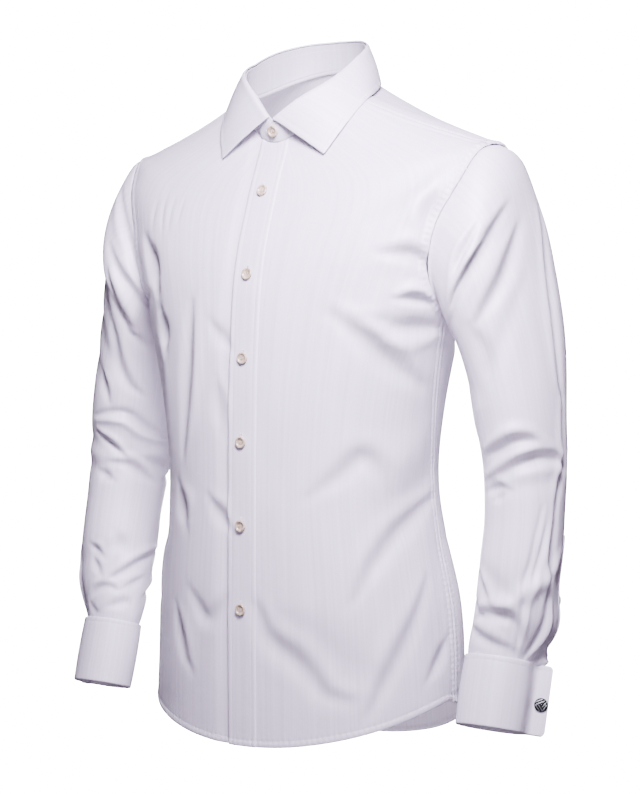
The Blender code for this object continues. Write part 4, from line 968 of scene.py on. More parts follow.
def studio_finish(name):
    """Bright plain studio white, a little uneven."""
    material, tree, shader = new_material(name)
    cloud = noise(tree, object_places(tree), 0.8, 2.0)
    set_inputs(shader, {"Base Color": shaded(tree, cloud, (0.88, 0.88, 0.88), (0.92, 0.92, 0.92)),
                        "Roughness": 0.9, "Emission Color": (1.0, 1.0, 1.0, 1.0),
                        "Emission Strength": STUDIO_GLOW})
    return material


# The stand's cotton is a darker copy of the body's: painted shade for the collar's inside, which its front
# tab shares.
COTTON_SHADES = {"body": (0.745, 0.71, 0.785), "collar": (0.745, 0.71, 0.785),
                 "stand": (0.70, 0.67, 0.74), "cuff": (0.76, 0.73, 0.80)}
COTTONS = {part: cotton(part + "_cotton", shade) for part, shade in COTTON_SHADES.items()}
THREAD = thread_finish("white_thread", (0.88, 0.88, 0.91))
BUTTON_THREAD = thread_finish("button_thread", (0.86, 0.84, 0.80))
PEARL = pearl_finish("ivory_pearl")
GUNMETAL = metal_finish("gunmetal")


# Cloth pieces

def body_levels(top, rows=BODY_ROWS):
    """Rows of a body panel up to a level, dense at the hem."""
    return np.concatenate([HEM + EDGE_STEPS, np.linspace(HEM + EDGE_ROWS_END, top, rows)])


def shoulder_levels():
    return np.linspace(SHOULDER + ARMHOLE_GAP, NECK, TOP_ROWS + 1)[1:]


def front_edges():
    """Level and side angle of each row of a front, from the hem to the neckline."""
    low, high = body_levels(CHEST - UNDER_ARMHOLE), shoulder_levels()
    arm_angle, arm_level = armhole_place(np.linspace(0.0, 180.0, ARMHOLE_ROWS + 1)[1:], ARMHOLE_GAP)
    angle = np.concatenate([side_seam_angle(low), arm_angle, yoke_seam_angle(high)]) - SEAM_HALF_ANGLE
    return np.concatenate([low, arm_level, high]), angle


def toward_seam(start, side, columns):
    """Angles of a panel's columns from its start to its side seam, dense along the seam."""
    seam_steps = EDGE_STEPS / SIDE_METRES_PER_DEGREE
    inner = side - seam_steps[-1]
    plain = start[:, None] + (inner - start)[:, None] * np.linspace(0.0, 1.0, columns)
    return np.hstack([plain, side[:, None] - seam_steps[None, ::-1][:, 1:]])


def across_back(side, edge, columns):
    """Angles of columns from the left side over the back to the right one, and the arch at each."""
    inner = side + edge[-1]
    middle = inner[:, None] + (360.0 - 2.0 * inner)[:, None] * np.linspace(0.0, 1.0, columns)[1:-1]
    angle = np.hstack([side[:, None] + edge, middle, 360.0 - side[:, None] - edge[::-1]])
    return angle, back_arch((angle - side[:, None]) / (360.0 - 2.0 * side)[:, None])


def width_angle(x, level):
    """Angle from the centre front at which the body is x to the side."""
    return np.degrees(np.arctan(x / read_table(RING_COLUMNS, BODY_RINGS, level)["half_width"]))


def cloth_uv(angle, level):
    """Cloth measures of body places in metres."""
    return np.stack([angle * DEGREE_ON_BODY, np.broadcast_to(level, angle.shape)], axis=-1)


def body_piece(name, angle, level, lift=0.0, thickness=CLOTH, flip=False):
    """Cloth object of a part of the body, with its cloth measures, seam marks and the fold marks for its
    painted shade.
    """
    return cloth_object(name, body_cloth(angle, level, lift), thickness, uv=cloth_uv(angle, level),
                        flip=flip, marks=body_marks(angle, level))


def make_fronts():
    """The left front, and the right one set in under the band with a small step past the band's edge."""
    level, seam = front_edges()
    for side, reach, columns in (("left", BAND_HALF, 96), ("right", UNDERLAP, 92)):
        angle = SIDES[side] * toward_seam(-width_angle(reach, level), seam, columns)
        set_in = 0.0
        if side == "right":
            across = body_point(angle, level[:, None])[..., 0]
            step = (across + UNDERLAP_RAMP[1]) / (UNDERLAP_RAMP[1] - UNDERLAP_RAMP[0])
            set_in = -UNDERLAP_DEPTH * ease(step)
        name = "front_" + side
        piece = body_piece(name + "_cloth", angle, level[:, None], set_in, flip=side == "right")
        finish_cloth(piece, "body", name)


def band_lift(x):
    """Height of the placket's face across it, rolled at both edges and drawn in at its stitches."""
    from_edge = BAND_HALF - np.abs(x)
    roll = 0.0007 * np.exp(-(from_edge / 0.0009) ** 2)
    groove = 0.00022 * np.exp(-((from_edge - BAND_STITCH_INSET) / 0.0009) ** 2)
    return LAID_ON + BAND_THICKNESS - roll - groove


def make_placket():
    level = body_levels(NECK - BAND_TOP_GAP, 270)
    steps = np.array([0.0, 0.0005, 0.0010, 0.0017, 0.0028, 0.0042, 0.0050, 0.0055,
                      0.0060, 0.0070, 0.0090, 0.0120])
    x = np.concatenate([-BAND_HALF + steps, [-0.0028, 0.0, 0.0028], (BAND_HALF - steps)[::-1]])
    angle = np.array([width_angle(value, level) for value in x]).T
    piece = body_piece("placket_band", angle, level[:, None], band_lift(x)[None, :], BAND_THICKNESS)
    finish_cloth(piece, "body", "placket")


def make_back():
    low = body_levels(CHEST - UNDER_ARMHOLE)
    arm_angle, arm_level = armhole_place(np.linspace(360.0, YOKE_BACK_TURN, 48)[1:], ARMHOLE_GAP)
    level = np.concatenate([low, arm_level])
    side = np.concatenate([side_seam_angle(low), arm_angle]) + SEAM_HALF_ANGLE
    angle, arch = across_back(side, EDGE_STEPS / SIDE_METRES_PER_DEGREE, 112)
    climb = np.clip((level - CHEST) / (level[-1] - CHEST), 0.0, 1.0) ** BACK_CLIMB
    piece = body_piece("back_cloth", angle, level[:, None] + YOKE_BACK_LIFT * climb[:, None] * arch)
    finish_cloth(piece, "body", "back")


def make_yoke():
    arm_angle, arm_level = armhole_place(np.linspace(YOKE_BACK_TURN, 180.0, 26), ARMHOLE_GAP)
    high = shoulder_levels()
    level = np.concatenate([arm_level, high])
    side = np.concatenate([arm_angle, yoke_seam_angle(high)]) + SEAM_HALF_ANGLE
    angle, arch = across_back(side, EDGE_STEPS[:8] / SIDE_METRES_PER_DEGREE, 150)
    left = np.clip((NECK - level) / (NECK - level[0]), 0.0, 1.0) ** YOKE_CLIMB
    levels = level[:, None] + (2.0 * SEAM_GAP + YOKE_BACK_LIFT * arch) * left[:, None]
    finish_cloth(body_piece("yoke_cloth", angle, levels), "body", "yoke")


def stand_columns():
    """Angles and the low and high edges of the collar stand, its left end lapped over its right."""
    angle = np.linspace(-STAND_OVERLAP_ANGLE, 360.0 + STAND_OVERLAP_ANGLE, 260)
    lap_start = 360.0 - STAND_LAP_REACH * STAND_OVERLAP_ANGLE
    inward = STAND_LAP * ease((angle - lap_start) / STAND_OVERLAP_ANGLE)
    outward = outward_at(angle)
    low = body_point(angle, np.full_like(angle, NECK)) + UP * STAND_GAP - outward * inward[:, None]
    high = fold_point(angle) - outward * STAND_SET_IN - UP * FOLD_RISE - outward * inward[:, None]
    reach = np.minimum(angle, 360.0 - angle) + STAND_OVERLAP_ANGLE
    tab = np.clip((STAND_OVERLAP_ANGLE + TAB_EASE[0] - reach) / TAB_EASE[1], 0.0, 1.0)
    rounding = STAND_OVERLAP_ANGLE * TAB_ROUND_SHARE
    past = np.clip((rounding - reach) / rounding, 0.0, 1.0)
    high = high - UP * TAB_DROP * tab[:, None]
    high = high + (low - high) * (TAB_ROUND_DROP * past**2)[:, None]
    return angle, low, high


def stand_face(share, lift=0.0):
    """Points of the stand at shares of its height, moved out by lift."""
    angle, low, high = stand_columns()
    share = np.asarray(share, float)[:, None, None]
    bow = 0.0008 * np.sin(np.pi * share)
    return low + (high - low) * share + outward_at(angle) * (bow + lift)


def make_stand():
    """Collar stand with a tuck below its seam, and painted shade on its inside."""
    share = np.concatenate([[0.0, 0.02, 0.05, 0.09, 0.12, 0.15], np.linspace(0.2, 0.8, 8),
                            [0.86, 0.91, 0.95, 0.98, 1.0]])
    edge = np.minimum(share, 1.0 - share)
    roll = -0.0003 * np.exp(-(edge / 0.02) ** 2) - 0.00018 * np.exp(-((edge - 0.09) / 0.02) ** 2)
    points = stand_face(share, roll[:, None, None])
    angle = stand_columns()[0]
    hidden = points[:1] - outward_at(angle) * STAND_TUCK_IN - UP * STAND_TUCK
    points = np.concatenate([hidden, hidden + UP * STAND_TUCK * 0.8, points])
    # Painted shade: the colour darkens away from the front tab, over the inside seen round the neck.
    inside = ease((np.minimum(angle, 360.0 - angle) - 20.0) / 25.0)
    marks = {"painted_shade": np.broadcast_to(inside, points.shape[:2])}
    piece = cloth_object("collar_stand_cloth", points, STAND_THICKNESS, marks=marks)
    finish_cloth(piece, "stand", "collar_stand")


def leaf_bulge(angle):
    """Direction in which the leaf bulges at an angle."""
    return unit(outward_at(angle) + LEAF_BULGE_UP * UP)


def leaf_face(angle, rows):
    """Points of the leaf: rows from its inner edge over the fold and down to its outer edge."""
    collar = collar_at(angle)
    side = np.where(angle > 180.0, -1.0, 1.0)
    edge = np.stack([collar["edge_x"] * side, collar["edge_y"], collar["edge_z"]], axis=-1)
    top, outward = fold_point(angle), outward_at(angle)
    over = top + outward * FOLD_ROLL - UP * FOLD_ROLL
    knots = [-2.0, -1.0, 0.0]
    loops = [top - outward * inwards - UP * down for inwards, down in (LEAF_INNER_EDGE, LEAF_CREST)] + [over]
    bulge = leaf_bulge(angle)
    for share in np.linspace(0.0, 1.0, 9)[1:]:
        knots.append(share * LEAF_EDGE_ROW)
        loops.append(over + (edge - over) * share + bulge * LEAF_BULGE * math.sin(math.pi * share))
    stack = np.array(loops)
    return spline(knots, stack.reshape(len(knots), -1), rows).reshape((len(rows),) + stack.shape[1:])


def make_leaf():
    front = COLLAR_STATIONS["front"][0]
    last = 360.0 - front
    ends = np.array([0.0, 0.25, 0.55, 0.95, 1.5, 2.2])
    angle = np.concatenate([front + ends, np.linspace(front + 3.2, last - 3.2, 236), last - ends[::-1]])
    tail = LEAF_EDGE_ROW - np.array([1.6, 1.3, 1.15, 1.05, 0.95, 0.8, 0.55, 0.35, 0.2, 0.1, 0.04, 0.0])
    rows = np.concatenate([np.linspace(-2.0, 0.5, 9), np.linspace(0.8, 10.2, 26), tail])
    points = leaf_face(angle, rows)
    distance, run = nearest(points, leaf_outline(), 0.012)
    wave = np.sin(2.0 * np.pi * run / 0.004) * np.exp(-((distance - 0.004) / 0.004) ** 2)
    height = -0.00045 * np.exp(-(distance / 0.0009) ** 2)
    height = height - 0.00022 * np.exp(-((distance - LEAF_STITCH_INSET) / 0.0011) ** 2) + 0.00006 * wave
    shown = ease((rows - 0.4) / 1.2)[:, None]
    points = points + leaf_bulge(angle) * (height * shown)[..., None]
    piece = cloth_object("collar_leaf_cloth", points, LEAF_THICKNESS, flip=True)
    finish_cloth(piece, "collar", "collar_leaf")


def leaf_outline():
    """The leaf's cut edge: down one front edge, round the outer edge and up the other front."""
    front = COLLAR_STATIONS["front"][0]
    sides = leaf_face(np.array([front, 360.0 - front]), np.linspace(0.6, LEAF_EDGE_ROW, 60))
    outer = leaf_face(np.linspace(front, 360.0 - front, 420), np.array([LEAF_EDGE_ROW]))[0]
    return np.vstack([sides[:, 0], outer[1:-1], sides[::-1, 1]])


def make_sleeves():
    """Both sleeves, and the bound slit above each cuff."""
    turns = np.linspace(0.0, 360.0, SLEEVE_AROUND + 1)
    head = np.array([0.0, 0.0012, 0.0026, 0.0045, 0.007])
    rows = np.concatenate([head, np.linspace(0.010, 1.016, SLEEVE_LONG)])
    uv = np.stack(np.meshgrid(turns * DEGREE_ON_SLEEVE, rows * SLEEVE_LENGTH), axis=-1)
    slit_turns, slit_rows = np.linspace(*SLIT_TURNS, 26), np.linspace(*SLIT_SHARES, 76)
    from_side = np.minimum(slit_turns - SLIT_TURNS[0], SLIT_TURNS[1] - slit_turns) * 0.0008
    slit_lift = LAID_ON + BAND_THICKNESS - 0.0006 * np.exp(-(from_side / 0.0008) ** 2)[None, :]
    for side in SIDES:
        flip = side == "left"
        grid = sleeve_grid(turns, rows, side)
        grid[:, -1] = grid[:, 0]
        # Marks for the painted shade in the sleeve's folds.
        marks = painted_fold_shade_marks(SLEEVE_CURVES[side], *sleeve_form(turns, rows))
        piece = cloth_object("sleeve_%s_cloth" % side, grid, CLOTH, uv=uv, flip=flip, closed=True,
                             marks=marks)
        finish_cloth(piece, "body", "sleeve_" + side)
        band = sleeve_grid(slit_turns, slit_rows, side, slit_lift)
        piece = cloth_object("sleeve_placket_%s_band" % side, band, BAND_THICKNESS, flip=flip)
        finish_cloth(piece, "body", "sleeve_placket_" + side)


def cuff_outline(grow, lip_end):
    """Cuff's section from one lip round the oval to the other lip, as long and short places."""
    half_long = (CUFF_OVAL_IN + CUFF_OVAL_OUT) / 2.0
    middle = (CUFF_OVAL_OUT - CUFF_OVAL_IN) / 2.0
    start = math.radians(LIP_START_ANGLE)
    ring = [(middle + (half_long + grow) * math.cos(turn), (CUFF_HALF_SHORT + grow) * math.sin(turn))
            for turn in np.linspace(start, 2.0 * math.pi - start, 17)]
    lip = CUFF_LIP_HALF + grow
    leave = CUFF_LIP - CUFF_LIP_LENGTH + grow / 2.0
    first = [(lip_end, lip), ((lip_end + leave) / 2.0, lip), (leave, lip)]
    last = [(x, -y) for x, y in reversed(first)]
    path = np.vstack([first, ring, last])
    steps = run_along(path)
    ends = np.array([0.0, 0.0006, 0.0014, 0.0024, 0.0036, 0.0046, 0.0052, 0.0062, 0.0080])
    inner = np.linspace(0.010, steps[-1] - 0.010, CUFF_COLUMNS)
    return spline(steps, path, np.concatenate([ends, inner, steps[-1] - ends[::-1]]))


def cuff_puff(down):
    """How far the cuff's outer layer swells out, by metres from its top."""
    return CUFF_PUFF * np.sin(np.pi * down / CUFF_HEIGHT)


def corner_cut(from_edge):
    """How far a rounded corner draws the lip in, at a distance from the cuff's edge."""
    inside = np.clip(CUFF_CORNER - from_edge, 0.0, CUFF_CORNER)
    return CUFF_CORNER - math.sqrt(max(CUFF_CORNER**2 - inside**2, 0.0))


def cuff_row(out, down, lift=0.0):
    """One row of the left cuff: out 0 on the inner layer and 1 on the outer, down in metres from its top."""
    long_way, short_way = cuff_axes()
    cut = corner_cut(min(down, CUFF_HEIGHT - down))
    outline = cuff_outline(CUFF_LAYER * out + lift, CUFF_LIP - cut)
    place = np.array(CUFF_TOP) + np.array(CUFF_AXIS) * down
    return place + outline[:, :1] * long_way + outline[:, 1:] * short_way


def make_cuffs():
    """Both cuffs: down the inner layer, round the turned edge and up the outer layer."""
    edge = np.array([0.0, 0.0005, 0.0012, 0.0022, 0.0034, 0.0045, 0.0050, 0.0055, 0.0066])
    downs = np.concatenate([edge, np.linspace(0.0085, CUFF_HEIGHT * 0.955, 26),
                            CUFF_HEIGHT * np.array([0.97, 0.982])])
    rows = [cuff_row(0.0, down) for down in downs]
    for turn in np.linspace(0.0, math.pi, 9)[1:-1]:
        out = 0.5 - 0.5 * math.cos(turn)
        rows.append(cuff_row(out, CUFF_HEIGHT * 0.985 + 0.001 * math.sin(turn)))
    for down in reversed(downs):
        roll = 0.00035 * math.exp(-(down / 0.0008) ** 2)
        roll += 0.0002 * math.exp(-((down - CUFF_STITCH_INSET) / 0.0009) ** 2)
        rows.append(cuff_row(1.0, down, lift=cuff_puff(down) - roll))
    for side in SIDES:
        name, points = "cuff_" + side, mirrored(np.array(rows), side)
        piece = cloth_object(name + "_cloth", points, CLOTH, flip=side == "right", side=0.0)
        finish_cloth(piece, "cuff", name)


# Stitching

def bead(size):
    """One small rounded stitch, long along X."""
    bm = bmesh.new()
    bmesh.ops.create_uvsphere(bm, u_segments=5, v_segments=3, radius=1.0)
    bmesh.ops.rotate(bm, verts=bm.verts, matrix=Matrix.Rotation(math.pi / 2.0, 3, "Y"))
    bmesh.ops.scale(bm, verts=bm.verts, vec=size)
    return mesh_from(bm, "stitch")


def sew(name, rows, material, size=(STITCH_LENGTH / 2.0, STITCH_RADIUS * 1.15, STITCH_RADIUS)):
    """One mesh of stitches; rows hold the middle, direction and normal of each stitch."""
    shape = bead(size)
    middle, ahead, normal = (np.concatenate([row[k] for row in rows]) for k in range(3))
    normal = unit(normal - ahead * (normal * ahead).sum(axis=-1, keepdims=True))
    ways = (ahead, np.cross(normal, ahead), normal)
    corners = vertex_places(shape)
    places = middle[:, None] + sum(corners[None, :, k:k + 1] * way[:, None] for k, way in enumerate(ways))
    bm = bmesh.new()
    for _ in range(len(middle)):
        bm.from_mesh(shape)
    mesh = mesh_from(bm, name)
    bpy.data.meshes.remove(shape)
    mesh.vertices.foreach_set("co", places.ravel())
    mesh.shade_smooth()
    mesh.materials.append(material)
    piece = link(name, mesh)


def stitch_row(line, facing):
    """Middle, direction and normal of each stitch along a line of surface points."""
    steps = run_along(line)
    at = (np.arange(int(steps[-1] / STITCH_PITCH)) + 0.5) * STITCH_PITCH

    def read(values, where):
        return np.stack([np.interp(where, steps, values[:, k]) for k in range(3)], axis=-1)

    ahead = unit(read(line, at + 0.0008) - read(line, at - 0.0008))
    normal = unit(read(facing, at))
    return read(line, at) - normal * STITCH_SINK, ahead, normal


def body_row(angle, level, lift=0.0):
    angle, level = alike(angle, level)
    return stitch_row(body_cloth(angle, level, lift), body_normal(angle, level))


def sleeve_row(side, turn, along, lift=0.0):
    """Stitches along a sleeve at a turn."""
    patch = sleeve_grid([turn - 1.0, turn, turn + 1.0], along, side, lift)
    facing = unit(np.cross(np.gradient(patch[:, 1], axis=0), patch[:, 2] - patch[:, 0]))
    return stitch_row(patch[:, 1], facing * SIDES[side])


def make_body_stitching():
    low = np.linspace(HEM + 0.002, CHEST - 0.004, 240)
    high = np.linspace(SHOULDER + 0.002, NECK - 0.002, 80)
    rows = []
    for sign in SIDES.values():
        for away in SIDE_STITCHES:
            rows.append(body_row(sign * (side_seam_angle(low) + away / SIDE_METRES_PER_DEGREE), low))
        angle, level = armhole_place(np.linspace(0.0, 360.0, 260), ARMHOLE_STITCHES)
        rows.append(body_row(sign * angle, level))
        for away in YOKE_FRONT_STITCHES:
            rows.append(body_row(sign * (yoke_seam_angle(high) + away / DEGREE_ON_BODY), high))
    for first, last in ((-180.0, -92.0), (-92.0, -8.0), (7.0, 92.0), (92.0, 180.0)):
        rows.append(body_row(np.linspace(first, last, 200), HEM_STITCHES))
    angle, level = yoke_back_place(np.linspace(0.01, 0.99, 220))
    for away in YOKE_BACK_STITCHES:
        rows.append(body_row(angle, level + away))
    level = np.linspace(HEM + 0.001, NECK - BAND_TOP_GAP - 0.001, 400)
    for x in (-BAND_HALF + BAND_STITCH_INSET, BAND_HALF - BAND_STITCH_INSET):
        rows.append(body_row(width_angle(x, level), level, float(band_lift(x))))
    sew("stitching_body", rows, THREAD)


def make_collar_stitching():
    first = COLLAR_STATIONS["front"][0] + LEAF_STITCH_END
    inset_row = LEAF_EDGE_ROW - LEAF_STITCH_INSET / 0.005
    angle = np.linspace(first, 360.0 - first, 420)
    rows = [stitch_row(leaf_face(angle, np.array([inset_row]))[0], leaf_bulge(angle))]
    for end in (angle[:1], angle[-1:]):
        line = leaf_face(end, np.linspace(1.5, inset_row, 60))[:, 0]
        rows.append(stitch_row(line, np.repeat(leaf_bulge(end), 60, axis=0)))
    out = outward_at(stand_columns()[0])
    for share, lift in ((0.09, 0.0), (0.09, -STAND_THICKNESS), (0.90, -STAND_THICKNESS),
                        (0.78, -STAND_THICKNESS)):
        facing = out if lift == 0.0 else -out
        rows.append(stitch_row(stand_face([share], lift)[0][4:-4], facing[4:-4]))
    rows.append(stitch_row(stand_face([0.88])[0][4:26], out[4:26]))
    sew("stitching_collar", rows, THREAD)


def line_facing(grid):
    """Outward direction along the middle row of three rows of points."""
    return unit(np.cross(np.gradient(grid, axis=1)[1], grid[2] - grid[0]))


def make_arm_stitching():
    rows = []
    for side in SIDES:
        down = CUFF_STITCH_INSET
        lift = cuff_puff(down) + CLOTH / 2.0
        grid = np.array([cuff_row(1.0, down + step, lift=lift) for step in (-0.002, 0.0, 0.002)])
        grid = mirrored(grid, side)
        rows.append(stitch_row(grid[1][4:-4], line_facing(grid)[4:-4] * -SIDES[side]))
        downs = np.linspace(CUFF_STITCH_INSET, CUFF_HEIGHT - 0.004, 50)
        for end, sign in ((5, 1.0), (-6, -1.0)):
            line = [cuff_row(1.0, down, lift=cuff_puff(down) + CLOTH / 2.0)[end] for down in downs]
            facing = mirrored(cuff_axes()[1], side) * sign
            rows.append(stitch_row(mirrored(np.array(line), side), np.repeat(facing[None], 50, axis=0)))
        along = np.linspace(SLIT_SHARES[0] + 0.006, SLIT_SHARES[1] - 0.004, 90)
        for turn in (SLIT_TURNS[0] + SLIT_STITCH_INSET_TURN, SLIT_TURNS[1] - SLIT_STITCH_INSET_TURN):
            rows.append(sleeve_row(side, turn, along, LAID_ON + BAND_THICKNESS))
        for turn in SLEEVE_SEAM_STITCH_TURNS:
            rows.append(sleeve_row(side, turn, np.linspace(0.02, 0.99, 260)))
    sew("stitching_arms", rows, THREAD)


# Buttons, buttonholes and cufflinks

def facing_matrix(place, facing):
    """World matrix that puts a piece at a place, its +Z along facing."""
    turn = Vector(facing).to_track_quat("Z", "Y")
    return Matrix.Translation(Vector(place)) @ turn.to_matrix().to_4x4()


def finish_piece(name, mesh, node):
    """Object of a mesh in place of its solid."""
    piece = link(name, mesh)
    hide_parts(node)


def turned_mesh(name, profile, steps):
    """Closed turned mesh from radius and height, from the top's middle round to the back's."""
    bm = bmesh.new()
    verts = [bm.verts.new((radius, 0.0, height)) for radius, height in profile]
    edges = [bm.edges.new(pair) for pair in zip(verts, verts[1:])]
    bmesh.ops.spin(bm, geom=verts + edges, cent=(0, 0, 0), axis=(0, 0, 1), angle=2.0 * math.pi, steps=steps,
                   use_merge=True)
    bmesh.ops.remove_doubles(bm, verts=bm.verts, dist=1e-6)
    bmesh.ops.recalc_face_normals(bm, faces=bm.faces)
    mesh = mesh_from(bm, name)
    mesh.shade_smooth()
    return mesh


def rounded_section(radius, thickness):
    """Button section: dished middle, rounded rim and flat back."""
    points = ((0.0, 0.50), (0.30, 0.50), (0.50, 0.52), (0.58, 0.60), (0.64, 0.78), (0.70, 0.94),
              (0.77, 0.995), (0.84, 1.0), (0.91, 0.97), (0.96, 0.86), (0.99, 0.70), (1.0, 0.52),
              (0.985, 0.32), (0.95, 0.14), (0.90, 0.03), (0.84, 0.0), (0.4, 0.0), (0.0, 0.0))
    return [(radius * across, thickness * up) for across, up in points]


def button_mesh(radius, thickness):
    """Four-hole button at the origin, facing +Z."""
    bm = bmesh.new()
    for x in (-1.0, 1.0):
        for y in (-1.0, 1.0):
            place = Matrix.Translation((x * radius * 0.20, y * radius * 0.20, thickness * 0.5))
            bmesh.ops.create_cone(bm, cap_ends=True, segments=12, radius1=radius * 0.10,
                                  radius2=radius * 0.10, depth=thickness * 2.0, matrix=place)
    plain = turned_mesh("button_body", rounded_section(radius, thickness), 40)
    body = bpy.data.objects.new("button_body", plain)
    cutter = bpy.data.objects.new("button_holes", mesh_from(bm, "button_holes"))
    for item in (body, cutter):
        bpy.context.scene.collection.objects.link(item)
    cut = body.modifiers.new("Holes", "BOOLEAN")
    cut.operation = "DIFFERENCE"
    cut.object = cutter
    graph = bpy.context.evaluated_depsgraph_get()
    mesh = bpy.data.meshes.new_from_object(body.evaluated_get(graph))
    mesh.set_sharp_from_angle(angle=math.radians(50.0))
    for item in (body, cutter):
        bpy.data.objects.remove(item, do_unlink=True)
    return mesh


def level_of_front_height(height):
    """Level whose centre front is at this height."""
    levels = np.linspace(HEM, NECK, 400)
    return float(np.interp(height, body_point(np.zeros_like(levels), levels)[:, 2], levels))


def button_places():
    """Place and facing of each button by its node, and its size."""
    on_band = LAID_ON + BAND_THICKNESS + LAID_ON
    places = {}
    for number in range(FRONT_BUTTONS):
        level = level_of_front_height(FRONT_BUTTON_TOP_Z - FRONT_BUTTON_PITCH * number)
        angle, level = np.zeros(1), np.full(1, level)
        normal = body_normal(angle, level)[0]
        places["button_front_%d" % (number + 1)] = (body_cloth(angle, level, on_band)[0], normal, 1.0)
    low = body_point(np.zeros(1), np.full(1, NECK))[0]
    along = unit(fold_point(np.zeros(1))[0] - low)
    facing = unit(np.cross(np.array([1.0, 0.0, 0.0]), along))
    places["button_collar"] = (low + along * COLLAR_BUTTON_RISE + facing * 0.0012, facing, 1.0)
    for side in SIDES:
        patch = sleeve_grid(SLIT_BUTTON_TURN + np.array([-2.0, 0.0, 2.0]),
                            SLIT_BUTTON_AT + np.array([-0.01, 0.0, 0.01]), side, on_band)
        facing = unit(np.cross(patch[2, 1] - patch[0, 1], patch[1, 2] - patch[1, 0])) * SIDES[side]
        places["button_sleeve_" + side] = (patch[1, 1], facing, SLEEVE_BUTTON_SCALE)
    return places


def make_buttons(places):
    plain = button_mesh(BUTTON_RADIUS, BUTTON_THICKNESS)
    spots = np.array([(x, y * 0.35) for x in (-1.0, 1.0) for y in (-1.0, 0.0, 1.0)])
    threads = []
    for node, (place, facing, scale) in places.items():
        matrix = facing_matrix(place, facing)
        mesh = plain.copy()
        mesh.transform(matrix @ Matrix.Scale(scale, 4))
        mesh.materials.append(PEARL)
        finish_piece(node + "_pearl", mesh, node)
        axes = np.array(matrix.to_3x3()).T
        reach, top = BUTTON_RADIUS * 0.20 * scale, BUTTON_THICKNESS * 0.58 * scale
        middle = place + axes[2] * top + spots * reach @ axes[:2]
        threads.append((middle, *(np.repeat(axes[k][None], len(spots), axis=0) for k in (1, 2))))
    sew("button_threads", threads, BUTTON_THREAD, (0.0014, 0.00022, 0.00022))


def buttonhole_rows(place, along, normal, length):
    """Bars of a worked buttonhole: two sides of close thread and a bar at each end."""
    across = np.cross(normal, along)
    count = 26
    at = np.linspace(-length / 2.0, length / 2.0, count)
    middle, ahead = [], []
    for side in (-1.0, 1.0):
        middle.append(place + along * at[:, None] + across * side * 0.00085)
        ahead.append(np.repeat(across[None], count, axis=0))
    for end in (-1.0, 1.0):
        steps = np.linspace(-0.0011, 0.0011, 5)
        middle.append(place + along * end * (length / 2.0 + 0.0003) + across * steps[:, None])
        ahead.append(np.repeat(along[None], 5, axis=0))
    middle, ahead = np.concatenate(middle), np.concatenate(ahead)
    return middle, ahead, np.repeat(normal[None], len(middle), axis=0)


def make_buttonholes(places):
    rows = []
    for node, (place, normal, _) in places.items():
        along = unit(UP - normal * normal.dot(UP))
        if node == "button_collar":
            along = np.array([1.0, 0.0, 0.0])
        kind = node.split("_")[1]
        shift, sink, length = BUTTONHOLES[kind]
        rows.append(buttonhole_rows(place + along * shift - normal * sink, along, normal, length))
    sew("buttonholes", rows, THREAD, (0.00075, 0.00020, 0.00022))


def link_frame():
    """Place of the cufflink through the left cuff's lip, and the way its face looks."""
    long_way, short_way = cuff_axes()
    place = np.array(CUFF_TOP) + np.array(CUFF_AXIS) * LINK_DOWN + long_way * (CUFF_LIP - LINK_INSET)
    return place, short_way if short_way[1] < 0 else -short_way


def woven_height(x, y):
    """Height from 0 to 1 of a knot's strands: fields that meet in the middle, each of parallel bands."""
    turn = np.degrees(np.arctan2(y, x)) % 360.0
    field = np.digitize(turn, KNOT_FIELDS) % len(KNOT_STRANDS)
    way = np.radians(KNOT_STRANDS[int(field)])
    across = y * np.cos(way) - x * np.sin(way)
    return 0.5 + 0.5 * np.cos(2.0 * np.pi * across / KNOT_PITCH)


def link_mesh(name):
    """Cufflink at the origin, facing +Z: a domed plaited face, a collar, a post and a round back."""
    half = LINK_POST_LENGTH / 2.0
    bm = bmesh.new()
    bmesh.ops.create_grid(bm, x_segments=56, y_segments=56, size=1.0)
    layer = bm.verts.layers.float.new("raised")
    for vert in bm.verts:
        x = vert.co.x * math.sqrt(1.0 - vert.co.y**2 / 2.0)
        y = vert.co.y * math.sqrt(1.0 - vert.co.x**2 / 2.0)
        out = math.hypot(x, y)
        dome = LINK_FACE_DEPTH * (0.40 + 0.60 * math.sqrt(max(1.0 - 0.92 * out**2, 0.0)))
        raised = float(woven_height(x, y)) * min(1.0, (1.0 - out) / 0.06 + 0.15)
        vert.co = (x * LINK_FACE_RADIUS, y * LINK_FACE_RADIUS, half + dome - 0.0006 + raised * 0.0006)
        vert[layer] = raised
    rim = [edge for edge in bm.edges if edge.is_boundary]
    for radius, height in ((1.0, 0.18), (0.97, 0.04), (0.90, 0.0), (0.19, -0.002)):
        grown = bmesh.ops.extrude_edge_only(bm, edges=rim)["geom"]
        rim = [item for item in grown if isinstance(item, bmesh.types.BMEdge) and item.is_boundary]
        for vert in {vert for edge in rim for vert in edge.verts}:
            away = Vector((vert.co.x, vert.co.y, 0.0)).normalized() * LINK_FACE_RADIUS * radius
            vert.co = (away.x, away.y, half + LINK_FACE_DEPTH * height)
            vert[layer] = 0.25
    bmesh.ops.holes_fill(bm, edges=rim, sides=0)
    bmesh.ops.recalc_face_normals(bm, faces=bm.faces)
    profile = [(0.0, half + 0.0002), (LINK_POST_RADIUS, half + 0.0002), (LINK_POST_RADIUS, -half)]
    section = ((0.70, 0.0), (0.90, 0.05), (0.99, 0.30), (1.0, 0.5), (0.97, 0.75), (0.85, 0.96), (0.7, 1.0),
               (0.0, 1.0))
    profile += [(LINK_BACK_RADIUS * across, -half - LINK_BACK_DEPTH * down) for across, down in section]
    bm.from_mesh(turned_mesh(name + "_stem", profile, 28))
    face = mesh_from(bm, name)
    face.shade_smooth()
    face.set_sharp_from_angle(angle=math.radians(55.0))
    return face


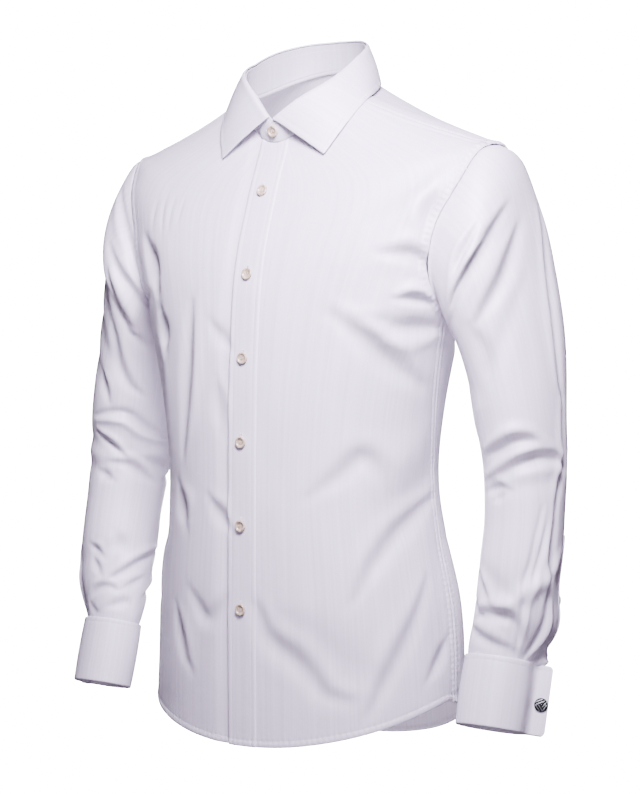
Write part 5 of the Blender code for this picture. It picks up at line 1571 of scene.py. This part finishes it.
def make_cufflinks():
    place, facing = link_frame()
    plain = link_mesh("cufflink")
    for side in SIDES:
        mesh = plain.copy()
        mesh.transform(facing_matrix(mirrored(place, side), mirrored(facing, side)))
        mesh.materials.append(GUNMETAL)
        finish_piece("cufflink_%s_metal" % side, mesh, "cufflink_" + side)


# Stage

def stage_piece(name, bm):
    """Bright piece of the stage that the shirt neither mirrors nor is shaded by."""
    item = bpy.data.objects.new(name, mesh_from(bm, name))
    bpy.context.scene.collection.objects.link(item)
    item.data.materials.append(studio_finish(name))
    item.visible_diffuse = False
    item.visible_glossy = False
    item.visible_shadow = False
    return item


def make_stage():
    """Pale floor and a plain white surround, both outside the shirt's own light."""
    bm = bmesh.new()
    bmesh.ops.create_grid(bm, x_segments=8, y_segments=8, size=9.0,
                          matrix=Matrix.Translation((0.0, 0.0, FLOOR_Z)))
    floor = stage_piece("studio_floor", bm)
    bm = bmesh.new()
    bmesh.ops.create_uvsphere(bm, u_segments=48, v_segments=24, radius=8.5)
    bmesh.ops.reverse_faces(bm, faces=bm.faces)
    surround = stage_piece("studio_surround", bm)


def make_light():
    world = bpy.data.worlds.new("studio_air")
    bpy.context.scene.world = world
    world.use_nodes = True
    set_inputs(world.node_tree.nodes["Background"], {"Color": (1.0, 0.84, 1.12, 1.0), "Strength": 0.13})
    for name, row in LAMPS.items():
        lamp_row = dict(zip(LAMP_COLUMNS, row))
        data = bpy.data.lights.new("lamp_" + name, "AREA")
        data.shape = "SQUARE"
        data.size = lamp_row["size"]
        data.spread = math.radians(lamp_row["spread"])
        data.energy = lamp_row["power"]
        data.color = lamp_row["colour"]
        lamp = bpy.data.objects.new("lamp_" + name, data)
        lamp.location = lamp_row["place"]
        ahead = Vector(lamp_row["target"]) - Vector(lamp_row["place"])
        lamp.rotation_euler = ahead.to_track_quat("-Z", "Y").to_euler()
        lamp.visible_camera = False
        bpy.context.scene.collection.objects.link(lamp)


def make_camera():
    turn, rise = math.radians(CAMERA_TURN), math.radians(CAMERA_RISE)
    back = Vector((math.sin(turn) * math.cos(rise), -math.cos(turn) * math.cos(rise), math.sin(rise)))
    right = Vector((math.cos(turn), math.sin(turn), 0.0))
    data = bpy.data.cameras.new("camera")
    data.sensor_width = SENSOR
    data.lens = CAMERA_DISTANCE / METRES_PER_PIXEL * SENSOR / IMAGE_HEIGHT
    camera = bpy.data.objects.new("camera", data)
    camera.location = back * CAMERA_DISTANCE + right * VIEW_RIGHT + Vector((0.0, 0.0, VIEW_CENTRE_Z))
    camera.rotation_euler = (-back).to_track_quat("-Z", "Y").to_euler()
    bpy.context.scene.collection.objects.link(camera)
    bpy.context.scene.camera = camera


make_camera()
make_light()
make_stage()
make_fronts()
make_placket()
make_back()
make_yoke()
make_stand()
make_leaf()
make_sleeves()
make_cuffs()
make_body_stitching()
make_collar_stitching()
make_arm_stitching()
button_spots = button_places()
make_buttons(button_spots)
make_buttonholes(button_spots)
make_cufflinks()
